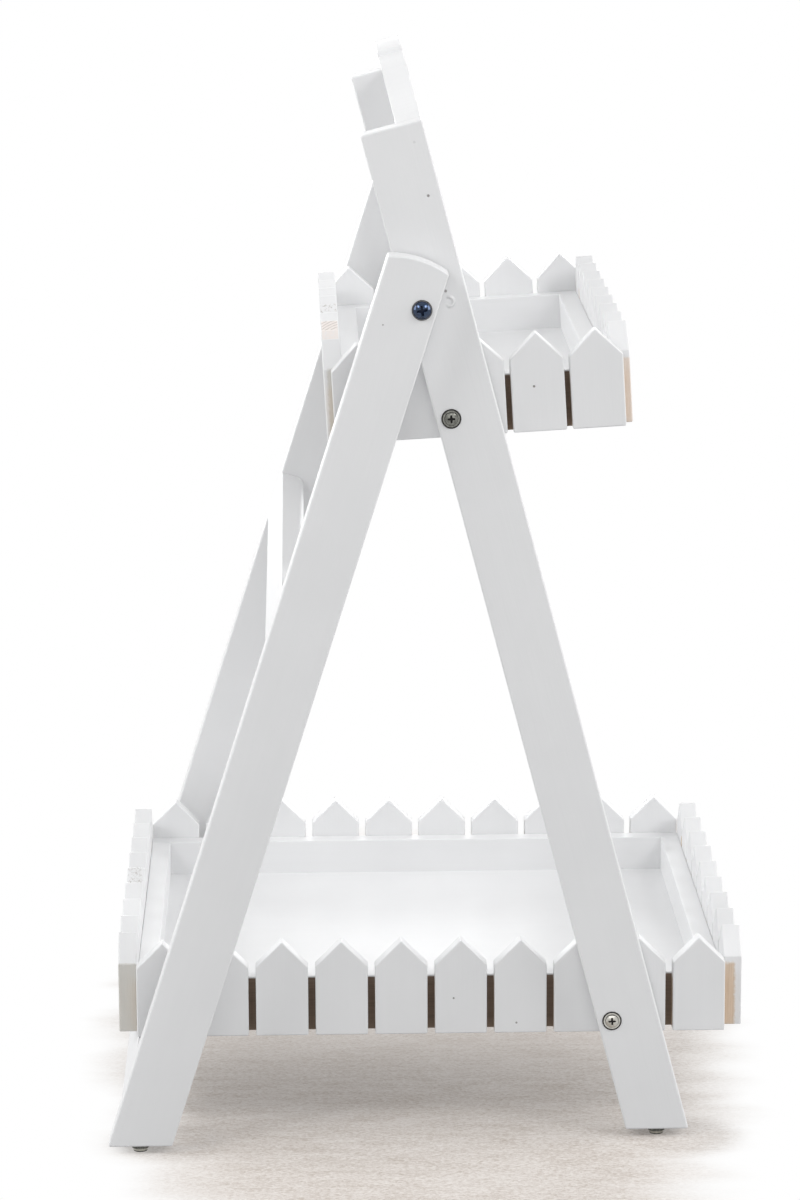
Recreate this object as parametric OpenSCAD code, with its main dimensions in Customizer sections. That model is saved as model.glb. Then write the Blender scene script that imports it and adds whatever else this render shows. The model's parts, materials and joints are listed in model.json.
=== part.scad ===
// Folding two-tier plant stand with picket-edged trays.
// Units are millimetres. +X is the width, -Y is the front and +Z is up.
// The origin lies on the floor under the middle of the stand.

/* [Legs] */
// Width of every leg bar, seen from the side
leg_w = 38; // [34:0.5:42]
// Thickness of every leg bar
leg_t = 18; // [15:0.5:22]
// Backward lean of the front legs in degrees
front_lean = 14.6; // [12:0.1:17]
// Length of the front legs above the pivot bolt
leg_above = 107.5; // [100:0.5:120]
// Length of the rear legs above the pivot bolt, at their corners
rear_above = 25; // [18:0.5:32]
// Rise of the rounded top end of the rear legs
rear_round = 3.2; // [1:0.2:8]
// Distance of the front legs' holes from their back edge
hole_edge = 9; // [8:0.25:10]
// Distance of the rear legs' bolt hole from their front edge
rear_hole_edge = 9; // [8:0.25:10]
// Gap between a rear leg and the front leg beside it
leg_gap = 2.6; // [2.4:0.1:5]

/* [Rear rails] */
// Height of the two rails between the rear legs
rail_w = 33; // [24:0.5:36]
// Thickness of the two rails
rail_t = 17; // [12:0.5:17]
// Radius of the rails' front edges
rail_round = 5; // [2:0.5:8]
// Distance from the pivot bolt down the leg to the upper rail
upper_rail_down = 192; // [170:1:194]
// Gap between the lower rail's top edge and the side pickets that rest on it
seat_gap = 0.3; // [0.1:0.1:0.6]
// Distance of the lower rail's top edge in front of the back row of pickets
rail_inset = 0.7; // [0.3:0.1:2]

/* [Crest board] */
// Thickness of the crest board
crest_t = 16; // [12:0.5:16]
// Depth of the crest board below the leg tops
crest_below = 55; // [50:0.5:56]
// Rise of the crest above the leg tops
crest_rise = 33; // [24:0.5:45]
// Half width of the arch in the middle of the crest
arch_half = 38; // [25:1:50]
// Drop of the arch from its middle to its ends
arch_drop = 1.5; // [0.5:0.1:4]
// Height of the step at each end of the arch
arch_step = 3.4; // [1:0.1:5]
// Width of the flat ledge beside the arch
ledge = 6; // [2:0.5:12]
// Length of the crest's level ends
crest_level = 12.5; // [6:0.5:25]
// Share of the ogee that bulges, next to the ledge
ogee_share = 0.215; // [0.15:0.005:0.5]

/* [Pickets] */
// Width of one picket
picket_w = 32.8; // [28:0.2:36]
// Height of one picket at its point
picket_h = 61; // [56:0.5:62]
// Thickness of one picket
picket_t = 11.5; // [9:0.25:12]
// Number of pickets along the front and along the back of a tray
width_count = 9; // [8:1:10]
// Gap between neighbouring pickets along the front and back
width_gap = 4.35; // [3:0.05:6]

/* [Tray boxes] */
// Thickness of a tray's rails
box_t = 12.5; // [11:0.25:15]
// Height of a tray's rails
box_h = 35; // [34:0.5:37]
// Thickness of a tray's floor panel
floor_t = 6; // [4:0.25:8]
// Height of the floor's top above the pickets' feet
floor_up = 12; // [10:0.25:12.5]
// Depth of the groove that holds the floor in the rails
groove = 4.5; // [3:0.25:5]
// Gap between a tray's side pickets and the front legs
tray_gap = 1; // [0.6:0.1:2]

/* [Lower tray] */
// Height of the lower tray's picket feet above the floor
lower_z = 63.2; // [58:0.2:90]
// Distance from the pivot bolt down the leg to the lower tray's screw
lower_hole = 465; // [460:0.5:480]
// Height of the lower tray's screws above its pickets' feet
lower_screw_up = 13.2; // [12:0.1:15]
// Number of pickets along each side
lower_count = 10; // [10:1:10]
// Number of those pickets in front of the screw
lower_ahead = 2; // [2:1:2]
// Gap between neighbouring side pickets
lower_gap = 4.5; // [3:0.1:4.8]
// Length of side picket row past each end rail
lower_overhang = 0; // [0:0.5:3]

/* [Upper tray] */
// Distance from the pivot bolt down the leg to the upper tray's screw
upper_hole = 71.5; // [71:0.5:80]
// Height of the upper tray's screws above its pickets' feet
upper_screw_up = 14.6; // [12:0.1:15]
// Number of pickets along each side
upper_count = 5; // [4:1:5]
// Number of those pickets in front of the screw
upper_ahead = 3; // [2:1:3]
// Gap between neighbouring side pickets
upper_gap = 3.4; // [3:0.1:4]
// Length of side picket row past each end rail
upper_overhang = 6.8; // [5:0.1:8]
// Upward tilt of the tray's front in degrees
upper_tilt = 3.2; // [0:0.1:5]

/* [Pivot bolts] */
// Radius of the bolt shanks
bolt_r = 3; // [2.5:0.25:4]
// Radius of the domed heads
bolt_head_r = 5.4; // [4.5:0.1:7]
// Height of the domed heads
bolt_head_h = 3.2; // [2.5:0.1:4.5]
// Radius of the washers under the heads
bolt_washer_r = 6.1; // [5.5:0.1:9]
// Thickness of those washers
bolt_washer_t = 0.8; // [0.5:0.1:1.5]
// Outer radius of the threaded inserts in the front legs
bolt_insert_r = 4.5; // [4.2:0.1:5.5]
// Length of those inserts
bolt_insert_len = 13; // [10:0.5:14]
// Outer radius of the spacer washers between moving boards
spacer_r = 8; // [6:0.5:9]

/* [Tray screws] */
// Radius of the screw shanks
screw_r = 2.5; // [2:0.1:3]
// Radius of the low heads
screw_head_r = 4; // [3.6:0.1:6]
// Height of the low heads
screw_head_h = 1.5; // [1.2:0.1:1.6]
// Radius of the thin washers under the heads
screw_washer_r = 6; // [5.5:0.1:8]
// Thickness of those washers
screw_washer_t = 0.5; // [0.3:0.1:0.6]
// Outer radius of the threaded inserts in the tray rails
screw_insert_r = 3.5; // [3.4:0.1:4]
// Length of those inserts
screw_insert_len = 7; // [5:0.5:7]

/* [Nails and dowels] */
// Radius of the picket brads
brad_r = 0.6; // [0.5:0.05:0.8]
// Length of the picket brads
brad_len = 18; // [15:0.5:18]
// Height of the lower row of brads above the pickets' feet
brad_low = 8; // [5:0.5:9]
// Height of the upper row of brads above the pickets' feet
brad_high = 24.5; // [23:0.5:26]
// Depth of the brads' heads below the pickets' faces
brad_set = 0.8; // [0.5:0.1:1.5]
// Radius of the crest nails
nail_r = 0.9; // [0.7:0.05:1.2]
// Length of the crest nails
nail_len = 40; // [32:1:45]
// Depth of the crest nails' heads below the legs' faces
nail_set = 1; // [0.5:0.1:2]
// Distance of the upper crest nails below the leg tops
nail_high = 12; // [8:0.5:16]
// Distance of the lower crest nails below the leg tops
nail_low = 45; // [38:0.5:47]
// Radius of the dowels in the rear rails
dowel_r = 4; // [3:0.5:4.5]
// Depth of a dowel in the leg
dowel_leg = 12; // [8:0.5:14]
// Depth of a dowel in the rail
dowel_rail = 20; // [15:1:30]
// Distance between the two dowels of a joint
dowel_pitch = 16; // [12:0.5:20]
// Radius of the screws in the tray corners
corner_r = 1.6; // [1.2:0.1:1.8]
// Length of the screws in the tray corners
corner_len = 36; // [30:1:45]
// Height of the lower corner screws above the pickets' feet
corner_low = 19.5; // [18:0.25:20]
// Height of the upper corner screws above the pickets' feet
corner_high = 29.5; // [29:0.25:30.5]

/* [Glides] */
// Height of the glides under the legs
glide_h = 5; // [3:0.5:8]
// Radius of the glides against the legs
glide_r = 5.3; // [5:0.1:8]
// Radius of the glides' flat undersides
glide_foot_r = 4.3; // [3:0.1:4.8]
// Height of the bevel around those undersides
glide_bevel = 1.4; // [0.5:0.1:2]
// Radius of the glides' nails
glide_nail_r = 1.3; // [1:0.1:2]
// Length of the glides' nails
glide_nail = 15; // [10:0.5:20]

/* [Hidden] */
$fn = 64;

// Colours of the finishes
white_paint = [0.93, 0.93, 0.92];
bare_pine = [0.80, 0.62, 0.44];
blued_steel = [0.12, 0.13, 0.16];
dull_steel = [0.45, 0.45, 0.44];
nickel = [0.62, 0.62, 0.60];
zinc = [0.70, 0.71, 0.72];
brass = [0.78, 0.62, 0.32];
nylon = [0.85, 0.85, 0.82];

// Radial clearance of a shank that turns in a bored board
run_clear = 0.06;
// Radial clearance of a shank or brad that stays put
fit_clear = 0.02;
// Clearance between flat faces that slide on each other
face_clear = 0.05;
// Play of the floor panel in its groove
groove_clear = 0.1;
// Extra length of a cut beyond the face that it opens
past = 1;
// Segments in each round stretch of an outline
arc_steps = 12;

// A tray is listed as its picket count, pickets ahead of the screws, gap, overhang and screw height
LOWER = [lower_count, lower_ahead, lower_gap, lower_overhang, lower_screw_up];
UPPER = [upper_count, upper_ahead, upper_gap, upper_overhang, upper_screw_up];

function row_reach(n, gap) = gap / 2 + n * picket_w + (n - 1) * gap;
function row_back(tray) = row_reach(tray[0] - tray[1], tray[2]);
function row_front(tray) = row_reach(tray[1], tray[2]);
function box_back(tray) = row_back(tray) - tray[3];
function box_front(tray) = row_front(tray) - tray[3];
function feet(tray) = -tray[4];

tray_w = width_count * picket_w + (width_count - 1) * width_gap;
tray_x = tray_w / 2;
leg_in = tray_x + picket_t + tray_gap;
leg_out = leg_in + leg_t;
rear_in = leg_out + leg_gap;
rear_out = rear_in + leg_t;

// Places of the tray screws from the pivot bolt
lower_dy = -lower_hole * sin(front_lean);
lower_dz = -lower_hole * cos(front_lean);
upper_dy = -upper_hole * sin(front_lean);
upper_dz = -upper_hole * cos(front_lean);
pivot_z = lower_z + lower_screw_up - lower_dz;

// Edges of the leg bars, measured square to the bar from the bolt, back is positive
front_ahead = hole_edge - leg_w;
rear_back = leg_w - rear_hole_edge;

// The rear legs lean so that the lower rail's top edge meets the tray's back corners
seat_y = lower_dy + box_back(LOWER) - rail_inset;
seat_z = lower_z - seat_gap - pivot_z;
seat_r = norm([seat_y, seat_z]);
rear_lean = atan2(seat_y, -seat_z) - asin(rear_back / seat_r);
lower_rail_down = sqrt(seat_r * seat_r - rear_back * rear_back);

function front_foot(y) = (glide_h - pivot_z + y * sin(front_lean)) / cos(front_lean);
function rear_foot(y) = (glide_h - pivot_z - y * sin(rear_lean)) / cos(rear_lean);

// The stand is centred between its front pickets and its rearmost edge
y_front = lower_dy - box_front(LOWER) - picket_t;
y_foot = -rear_foot(rear_back) * sin(rear_lean) + rear_back * cos(rear_lean);
y_rear = max(y_foot, lower_dy + box_back(LOWER) + picket_t);
pivot_y = -(y_front + y_rear) / 2;

// Middle of each foot
front_mid = (hole_edge + front_ahead) / 2;
rear_mid = (rear_back - rear_hole_edge) / 2;
front_foot_y = pivot_y + front_foot(front_mid) * sin(front_lean) + front_mid * cos(front_lean);
rear_foot_y = pivot_y - rear_foot(rear_mid) * sin(rear_lean) + rear_mid * cos(rear_lean);

// Spaces with the origin on the bolt, Z up along a leg and Y square to it
module front_space() translate([0, pivot_y, pivot_z]) rotate([-front_lean, 0, 0]) children();
module rear_space() translate([0, pivot_y, pivot_z]) rotate([rear_lean, 0, 0]) children();

// Spaces with the origin on a tray's screws
module upper_space()
    translate([0, pivot_y + upper_dy, pivot_z + upper_dz]) rotate([-upper_tilt, 0, 0]) children();
module lower_space() translate([0, pivot_y + lower_dy, pivot_z + lower_dz]) children();

module left() mirror([1, 0, 0]) children();
module both() {
    children();
    left() children();
}

// A board from x0 outwards whose children are its outline in Y and Z
module board(x0, t) translate([x0, 0, 0]) rotate([90, 0, 90]) linear_extrude(t) children();

// A round bar along X from x0
module bar(x0, len, r) translate([x0, 0, 0]) rotate([0, 90, 0]) cylinder(h = len, r = r);

module ring(x0, len, r, bore_r) {
    difference() {
        bar(x0, len, r);
        bar(x0 - past, len + 2 * past, bore_r);
    }
}

// Two crossed slots cut into a head whose top is at x0
module cross_slots(x0, len, w, deep) {
    for (turn = [0, 90])
        translate([x0 - deep, 0, 0]) rotate([turn, 0, 0])
            translate([0, -len / 2, -w / 2]) cube([deep + past, len, w]);
}

// A domed head that stands outwards from x0, with a straight rim below the dome
module domed_head(x0, r, h, rim) {
    dome_r = (r * r + (h - rim) * (h - rim)) / (2 * (h - rim));
    difference() {
        translate([x0, 0, 0]) rotate([0, 90, 0]) rotate_extrude() intersection() {
            translate([0, h - dome_r]) circle(dome_r, $fn = 96);
            square([r, h + past]);
        }
        cross_slots(x0 + h, r * 1.15, r * 0.24, h * 0.55);
    }
}

// Front frame

module crest_nail_cut(grow) {
    for (down = [nail_high, nail_low])
        translate([0, front_ahead + crest_t / 2, leg_above - down])
            bar(leg_out - nail_set - nail_len - grow, nail_len + 2 * grow, nail_r + grow);
}

module front_leg() {
    difference() {
        front_space() difference() {
            board(leg_in, leg_t)
                polygon([[front_ahead, front_foot(front_ahead)], [hole_edge, front_foot(hole_edge)],
                         [hole_edge, leg_above], [front_ahead, leg_above]]);
            bar(leg_out - bolt_insert_len, bolt_insert_len + past, bolt_insert_r + fit_clear);
            for (down = [upper_hole, lower_hole])
                translate([0, 0, -down]) bar(leg_in - past, leg_t + 2 * past, screw_r + run_clear);
            crest_nail_cut(fit_clear);
        }
        glide_cut(leg_in + leg_t / 2, front_foot_y);
    }
}
module front_leg_left() color(white_paint) left() front_leg();
module front_leg_right() color(white_paint) front_leg();

// Outline of half the crest, from its middle to one leg, above the leg tops
arch_r = (arch_half * arch_half + arch_drop * arch_drop) / (2 * arch_drop);
ledge_z = crest_rise - arch_drop - arch_step;
ogee_run = leg_in - crest_level - arch_half - ledge;
ogee_turn = 2 * atan(ledge_z / ogee_run);
ogee_r = ogee_run / sin(ogee_turn);
bulge_r = ogee_r * ogee_share;
hollow_r = ogee_r - bulge_r;
arch_turn = asin(arch_half / arch_r);
half_crest = concat(
    [for (i = [0:arc_steps]) let (a = arch_turn * i / arc_steps)
        [arch_r * sin(a), crest_rise - arch_r * (1 - cos(a))]],
    [[arch_half, ledge_z]],
    [for (i = [0:arc_steps]) let (a = ogee_turn * i / arc_steps)
        [arch_half + ledge + bulge_r * sin(a), ledge_z - bulge_r * (1 - cos(a))]],
    [for (i = [1:arc_steps]) let (a = ogee_turn * (1 - i / arc_steps))
        [leg_in - crest_level - hollow_r * sin(a), hollow_r * (1 - cos(a))]],
    [[leg_in, 0], [leg_in, -crest_below]]);

module crest_board() {
    n = len(half_crest);
    outline = concat(half_crest, [for (i = [n - 1:-1:1]) [-half_crest[i][0], half_crest[i][1]]]);
    color(white_paint) front_space() difference() {
        translate([0, front_ahead + crest_t, leg_above])
            rotate([90, 0, 0]) linear_extrude(crest_t) polygon(outline);
        both() crest_nail_cut(fit_clear);
    }
}
module crest_nails() color(zinc) front_space() both() crest_nail_cut(0);

// Pivot bolts hold the rear legs outside the front legs
bolt_tip = leg_out - bolt_insert_len + past;
bolt_head_x = rear_out + bolt_washer_t + 2 * face_clear;
module pivot_bolts() {
    color(blued_steel) front_space() both() {
        bar(bolt_tip, bolt_head_x + face_clear - bolt_tip, bolt_r);
        domed_head(bolt_head_x, bolt_head_r, bolt_head_h, 0.8);
    }
}
module pivot_washers() {
    color(zinc) front_space() both()
        ring(rear_out + face_clear, bolt_washer_t, bolt_washer_r, bolt_r + fit_clear);
}
module pivot_inserts() {
    color(brass) front_space() both()
        ring(leg_out - bolt_insert_len, bolt_insert_len, bolt_insert_r, bolt_r + fit_clear);
}
module pivot_spacers() {
    color(nylon) front_space() both()
        ring(leg_out, leg_gap - face_clear, spacer_r, bolt_r + fit_clear);
}
module tray_spacers(down) {
    color(nylon) front_space() translate([0, 0, -down]) both()
        ring(leg_in - tray_gap + face_clear, tray_gap - face_clear, spacer_r, screw_r + run_clear);
}
module upper_tray_spacers() tray_spacers(upper_hole);
module lower_tray_spacers() tray_spacers(lower_hole);

// A glide is a button with a nail, and stands on the floor
module glide(x, y) {
    color(dull_steel) translate([x, y, 0]) rotate_extrude()
        polygon([[0, 0], [glide_foot_r, 0], [glide_r, glide_bevel], [glide_r, glide_h],
                 [glide_nail_r, glide_h], [glide_nail_r, glide_h + glide_nail - glide_nail_r],
                 [0, glide_h + glide_nail]]);
}
module glide_cut(x, y) {
    translate([x, y, glide_h - past])
        cylinder(h = glide_nail + past + groove_clear, r = glide_nail_r + fit_clear);
}
module front_glide_left() left() glide(leg_in + leg_t / 2, front_foot_y);
module front_glide_right() glide(leg_in + leg_t / 2, front_foot_y);

// Rear frame

round_r = (leg_w * leg_w / 4 + rear_round * rear_round) / (2 * rear_round);
round_turn = asin(leg_w / 2 / round_r);

module rail_space(down) rear_space() translate([0, rear_back - rail_t, -down - rail_w]) children();

module dowel_cut(down, grow) {
    rail_space(down)
        for (side = [-1, 1])
            translate([0, rail_t / 2, rail_w / 2 + side * dowel_pitch / 2])
                bar(rear_in - dowel_rail - grow, dowel_rail + dowel_leg + 2 * grow, dowel_r + grow);
}

module rear_leg() {
    difference() {
        rear_space() difference() {
            board(rear_in, leg_t)
                polygon(concat(
                    [[-rear_hole_edge, rear_foot(-rear_hole_edge)], [rear_back, rear_foot(rear_back)]],
                    [for (i = [-arc_steps:arc_steps]) let (a = -round_turn * i / arc_steps)
                        [rear_mid + round_r * sin(a),
                         rear_above + rear_round - round_r * (1 - cos(a))]]));
            bar(rear_in - past, leg_t + 2 * past, bolt_r + run_clear);
        }
        dowel_cut(upper_rail_down, fit_clear);
        dowel_cut(lower_rail_down, fit_clear);
        glide_cut(rear_in + leg_t / 2, rear_foot_y);
    }
}
module rear_leg_left() color(white_paint) left() rear_leg();
module rear_leg_right() color(white_paint) rear_leg();

module rail_section() {
    translate([rail_round, 0]) square([rail_t - rail_round, rail_w]);
    translate([0, rail_round]) square([rail_t, rail_w - 2 * rail_round]);
    for (z = [rail_round, rail_w - rail_round])
        translate([rail_round, z]) circle(rail_round);
}
module rear_rail(down) {
    color(white_paint) difference() {
        rail_space(down) board(-rear_in, 2 * rear_in) rail_section();
        both() dowel_cut(down, fit_clear);
    }
}
module rear_rail_upper() rear_rail(upper_rail_down);
module rear_rail_lower() rear_rail(lower_rail_down);
module rear_rail_dowels() {
    color(bare_pine) both() {
        dowel_cut(upper_rail_down, 0);
        dowel_cut(lower_rail_down, 0);
    }
}
module rear_glide_left() left() glide(rear_in + leg_t / 2, rear_foot_y);
module rear_glide_right() glide(rear_in + leg_t / 2, rear_foot_y);

// Trays, each in the space of its own screws

// Floor panel, grown on every face where it is used as a cut
module floor_panel(tray, grow) {
    x = tray_x - box_t + groove + grow;
    front = box_front(tray) - box_t + groove + grow;
    back = box_back(tray) - box_t + groove + grow;
    translate([-x, -front, feet(tray) + floor_up - floor_t - grow])
        cube([2 * x, front + back, floor_t + 2 * grow]);
}

// Outline of a picket that stands on zero, with a square point
module picket_outline() {
    half = picket_w / 2;
    polygon([[-half, 0], [half, 0], [half, picket_h - half], [0, picket_h], [-half, picket_h - half]]);
}

function side_y(tray, k) = row_back(tray) - picket_w / 2 - k * (picket_w + tray[2]);
function end_x(k) = (k - (width_count - 1) / 2) * (picket_w + width_gap);

// Brads of the right side row, of the front row and of the back row
module side_brads(tray, grow) {
    for (k = [0:tray[0] - 1])
        for (up = [brad_low, brad_high])
            translate([0, side_y(tray, k), feet(tray) + up])
                bar(tray_x + picket_t - brad_set - brad_len - grow, brad_len + 2 * grow, brad_r + grow);
}
module end_brads(tray, face, grow) {
    for (k = [0:width_count - 1])
        for (up = [brad_low, brad_high])
            translate([end_x(k), face + picket_t - brad_set + grow, feet(tray) + up])
                rotate([90, 0, 0]) cylinder(h = brad_len + 2 * grow, r = brad_r + grow);
}
module front_brads(tray, grow) mirror([0, 1, 0]) end_brads(tray, box_front(tray), grow);
module back_brads(tray, grow) end_brads(tray, box_back(tray), grow);

// Countersunk screws that hold the end rails between the side rails, on the right
module corner_screw_set(tray, grow) {
    head = 2 * corner_r;
    for (y = [box_back(tray) - box_t / 2, box_t / 2 - box_front(tray)])
        for (up = [corner_low, corner_high])
            translate([tray_x, y, feet(tray) + up]) rotate([0, -90, 0]) {
                cylinder(h = corner_len + grow, r = corner_r + grow);
                translate([0, 0, -grow]) cylinder(h = corner_r, r1 = head + grow, r2 = corner_r + grow);
            }
}

module box_side(tray) {
    color(white_paint) difference() {
        translate([tray_x - box_t, -box_front(tray), feet(tray)])
            cube([box_t, box_front(tray) + box_back(tray), box_h]);
        floor_panel(tray, groove_clear);
        side_brads(tray, fit_clear);
        corner_screw_set(tray, fit_clear);
        bar(tray_x - screw_insert_len - fit_clear, screw_insert_len + past, screw_insert_r + fit_clear);
    }
}

module box_end(tray, y) {
    x = tray_x - box_t;
    color(white_paint) difference() {
        translate([-x, y, feet(tray)]) cube([2 * x, box_t, box_h]);
        floor_panel(tray, groove_clear);
        front_brads(tray, fit_clear);
        back_brads(tray, fit_clear);
        both() corner_screw_set(tray, fit_clear);
    }
}

module side_pickets(tray) {
    color(white_paint) difference() {
        for (k = [0:tray[0] - 1])
            translate([0, side_y(tray, k), feet(tray)]) board(tray_x, picket_t) picket_outline();
        side_brads(tray, fit_clear);
        bar(tray_x - past, picket_t + 2 * past, screw_r + fit_clear);
    }
}

module end_pickets(tray, face) {
    color(white_paint) difference() {
        for (k = [0:width_count - 1])
            translate([end_x(k), face + picket_t, feet(tray)])
                rotate([90, 0, 0]) linear_extrude(picket_t) picket_outline();
        end_brads(tray, face, fit_clear);
    }
}

module tray_brads(tray) {
    color(zinc) {
        both() side_brads(tray, 0);
        front_brads(tray, 0);
        back_brads(tray, 0);
    }
}
module tray_corner_screws(tray) color(zinc) both() corner_screw_set(tray, 0);

// Screws turn in the front legs and are threaded into the tray
screw_head_x = leg_out + screw_washer_t + 2 * face_clear;
screw_tip = tray_x - screw_insert_len + past / 2;
module tray_screws(tone) {
    color(tone) both() {
        bar(screw_tip, screw_head_x + face_clear - screw_tip, screw_r);
        domed_head(screw_head_x, screw_head_r, screw_head_h, 0.5);
    }
}
module tray_screw_washers() {
    color(zinc) both()
        ring(leg_out + face_clear, screw_washer_t, screw_washer_r, screw_r + fit_clear);
}
module tray_inserts() {
    color(brass) both()
        ring(tray_x - screw_insert_len, screw_insert_len, screw_insert_r, screw_r + fit_clear);
}

module upper_floor() color(white_paint) upper_space() floor_panel(UPPER, 0);
module upper_box_left() upper_space() left() box_side(UPPER);
module upper_box_right() upper_space() box_side(UPPER);
module upper_box_front() upper_space() box_end(UPPER, -box_front(UPPER));
module upper_box_back() upper_space() box_end(UPPER, box_back(UPPER) - box_t);
module upper_pickets_left() upper_space() left() side_pickets(UPPER);
module upper_pickets_right() upper_space() side_pickets(UPPER);
module upper_pickets_front() upper_space() mirror([0, 1, 0]) end_pickets(UPPER, box_front(UPPER));
module upper_pickets_back() upper_space() end_pickets(UPPER, box_back(UPPER));
module upper_corner_screws() upper_space() tray_corner_screws(UPPER);
module upper_brads() upper_space() tray_brads(UPPER);
module upper_screws() upper_space() tray_screws(dull_steel);
module upper_screw_washers() upper_space() tray_screw_washers();
module upper_inserts() upper_space() tray_inserts();

module lower_floor() color(white_paint) lower_space() floor_panel(LOWER, 0);
module lower_box_left() lower_space() left() box_side(LOWER);
module lower_box_right() lower_space() box_side(LOWER);
module lower_box_front() lower_space() box_end(LOWER, -box_front(LOWER));
module lower_box_back() lower_space() box_end(LOWER, box_back(LOWER) - box_t);
module lower_pickets_left() lower_space() left() side_pickets(LOWER);
module lower_pickets_right() lower_space() side_pickets(LOWER);
module lower_pickets_front() lower_space() mirror([0, 1, 0]) end_pickets(LOWER, box_front(LOWER));
module lower_pickets_back() lower_space() end_pickets(LOWER, box_back(LOWER));
module lower_corner_screws() lower_space() tray_corner_screws(LOWER);
module lower_brads() lower_space() tray_brads(LOWER);
module lower_screws() lower_space() tray_screws(nickel);
module lower_screw_washers() lower_space() tray_screw_washers();
module lower_inserts() lower_space() tray_inserts();

front_leg_left();
front_leg_right();
crest_board();
crest_nails();
pivot_bolts();
pivot_washers();
pivot_inserts();
pivot_spacers();
upper_tray_spacers();
lower_tray_spacers();
front_glide_left();
front_glide_right();
rear_leg_left();
rear_leg_right();
rear_rail_upper();
rear_rail_lower();
rear_rail_dowels();
rear_glide_left();
rear_glide_right();
upper_floor();
upper_box_left();
upper_box_right();
upper_box_front();
upper_box_back();
upper_pickets_left();
upper_pickets_right();
upper_pickets_front();
upper_pickets_back();
upper_corner_screws();
upper_brads();
upper_screws();
upper_screw_washers();
upper_inserts();
lower_floor();
lower_box_left();
lower_box_right();
lower_box_front();
lower_box_back();
lower_pickets_left();
lower_pickets_right();
lower_pickets_front();
lower_pickets_back();
lower_corner_screws();
lower_brads();
lower_screws();
lower_screw_washers();
lower_inserts();
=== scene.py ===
"""Dresses the folding two-tier picket stand and lights it as a plain studio shot.

Every board is a flat outline carried through its thickness with rounded edges. Each board keeps
its own coordinates in an attribute, so its grain runs along it and differs from its neighbours'.
Bolts, screws, washers and glides are profiles carried round an axis.
"""

from __future__ import annotations

import json
import logging
from dataclasses import dataclass, replace
from enum import Enum
from functools import reduce
from math import atan, atan2, asin, cos, hypot, radians, sin, sqrt
from typing import Any, Sequence

import bpy
import numpy as np
from mathutils import Matrix, Vector

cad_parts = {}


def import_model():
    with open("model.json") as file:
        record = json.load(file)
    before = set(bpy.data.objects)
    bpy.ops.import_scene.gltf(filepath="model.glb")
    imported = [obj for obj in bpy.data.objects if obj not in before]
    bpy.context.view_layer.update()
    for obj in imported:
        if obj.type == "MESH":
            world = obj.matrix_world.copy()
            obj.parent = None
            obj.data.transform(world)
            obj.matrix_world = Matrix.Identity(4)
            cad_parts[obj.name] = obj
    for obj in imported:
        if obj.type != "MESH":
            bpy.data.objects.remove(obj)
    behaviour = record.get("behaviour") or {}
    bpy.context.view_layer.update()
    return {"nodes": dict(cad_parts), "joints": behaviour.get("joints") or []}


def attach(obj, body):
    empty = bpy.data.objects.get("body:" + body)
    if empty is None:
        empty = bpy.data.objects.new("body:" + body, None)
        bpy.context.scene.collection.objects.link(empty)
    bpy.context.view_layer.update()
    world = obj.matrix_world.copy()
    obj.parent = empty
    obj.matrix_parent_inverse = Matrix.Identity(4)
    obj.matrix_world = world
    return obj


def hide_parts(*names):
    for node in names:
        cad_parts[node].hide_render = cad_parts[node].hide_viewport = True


logging.basicConfig(level=logging.INFO, format="%(message)s")
LOG = logging.getLogger("stand")

Array = np.ndarray
Colour = tuple[float, float, float]
MM = 0.001
X_AXIS, Y_AXIS, Z_AXIS = (1.0, 0.0, 0.0), (0.0, 1.0, 0.0), (0.0, 0.0, 1.0)


def in_scene(name: str, data: bpy.types.ID) -> bpy.types.Object:
    """Makes an object of a mesh, a lamp or a camera and puts it in the scene."""
    made = bpy.data.objects.new(name, data)
    bpy.context.scene.collection.objects.link(made)
    return made


# Shader helpers


class Socket:
    """An output socket whose arithmetic adds Math nodes."""

    def __init__(self, shader: "Shader", socket: bpy.types.NodeSocket | None) -> None:
        """Keeps the socket and the shader that it belongs to."""
        self.shader = shader
        self.socket = socket

    def _math(self, operation: str, *values: Any) -> "Socket":
        """Adds one Math node.

        Args:
            operation: Name of the Math operation.
            values: Numbers or sockets, in the node's order.

        Returns:
            The node's result.
        """
        return self.shader.node("ShaderNodeMath", {"operation": operation}, dict(enumerate(values)))

    def __add__(self, other: Any) -> "Socket":
        """Sum."""
        return self._math("ADD", self, other)

    __radd__ = __add__

    def __mul__(self, other: Any) -> "Socket":
        """Product."""
        return self._math("MULTIPLY", self, other)

    __rmul__ = __mul__

    def __sub__(self, other: Any) -> "Socket":
        """Difference."""
        return self._math("SUBTRACT", self, other)

    def __rsub__(self, other: Any) -> "Socket":
        """Difference from a number."""
        return self._math("SUBTRACT", other, self)

    def __abs__(self) -> "Socket":
        """Absolute value."""
        return self._math("ABSOLUTE", self)

    def largest(self, other: Any) -> "Socket":
        """The larger of this and another value."""
        return self._math("MAXIMUM", self, other)

    def above(self, start: Any, end: Any) -> "Socket":
        """A smooth step from 0 at start to 1 at end, which may lie below start."""
        return self.shader.node(
            "ShaderNodeMapRange",
            {"interpolation_type": "SMOOTHSTEP"},
            {0: self, 1: start, 2: end, 3: 0.0, 4: 1.0},
        )


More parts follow.
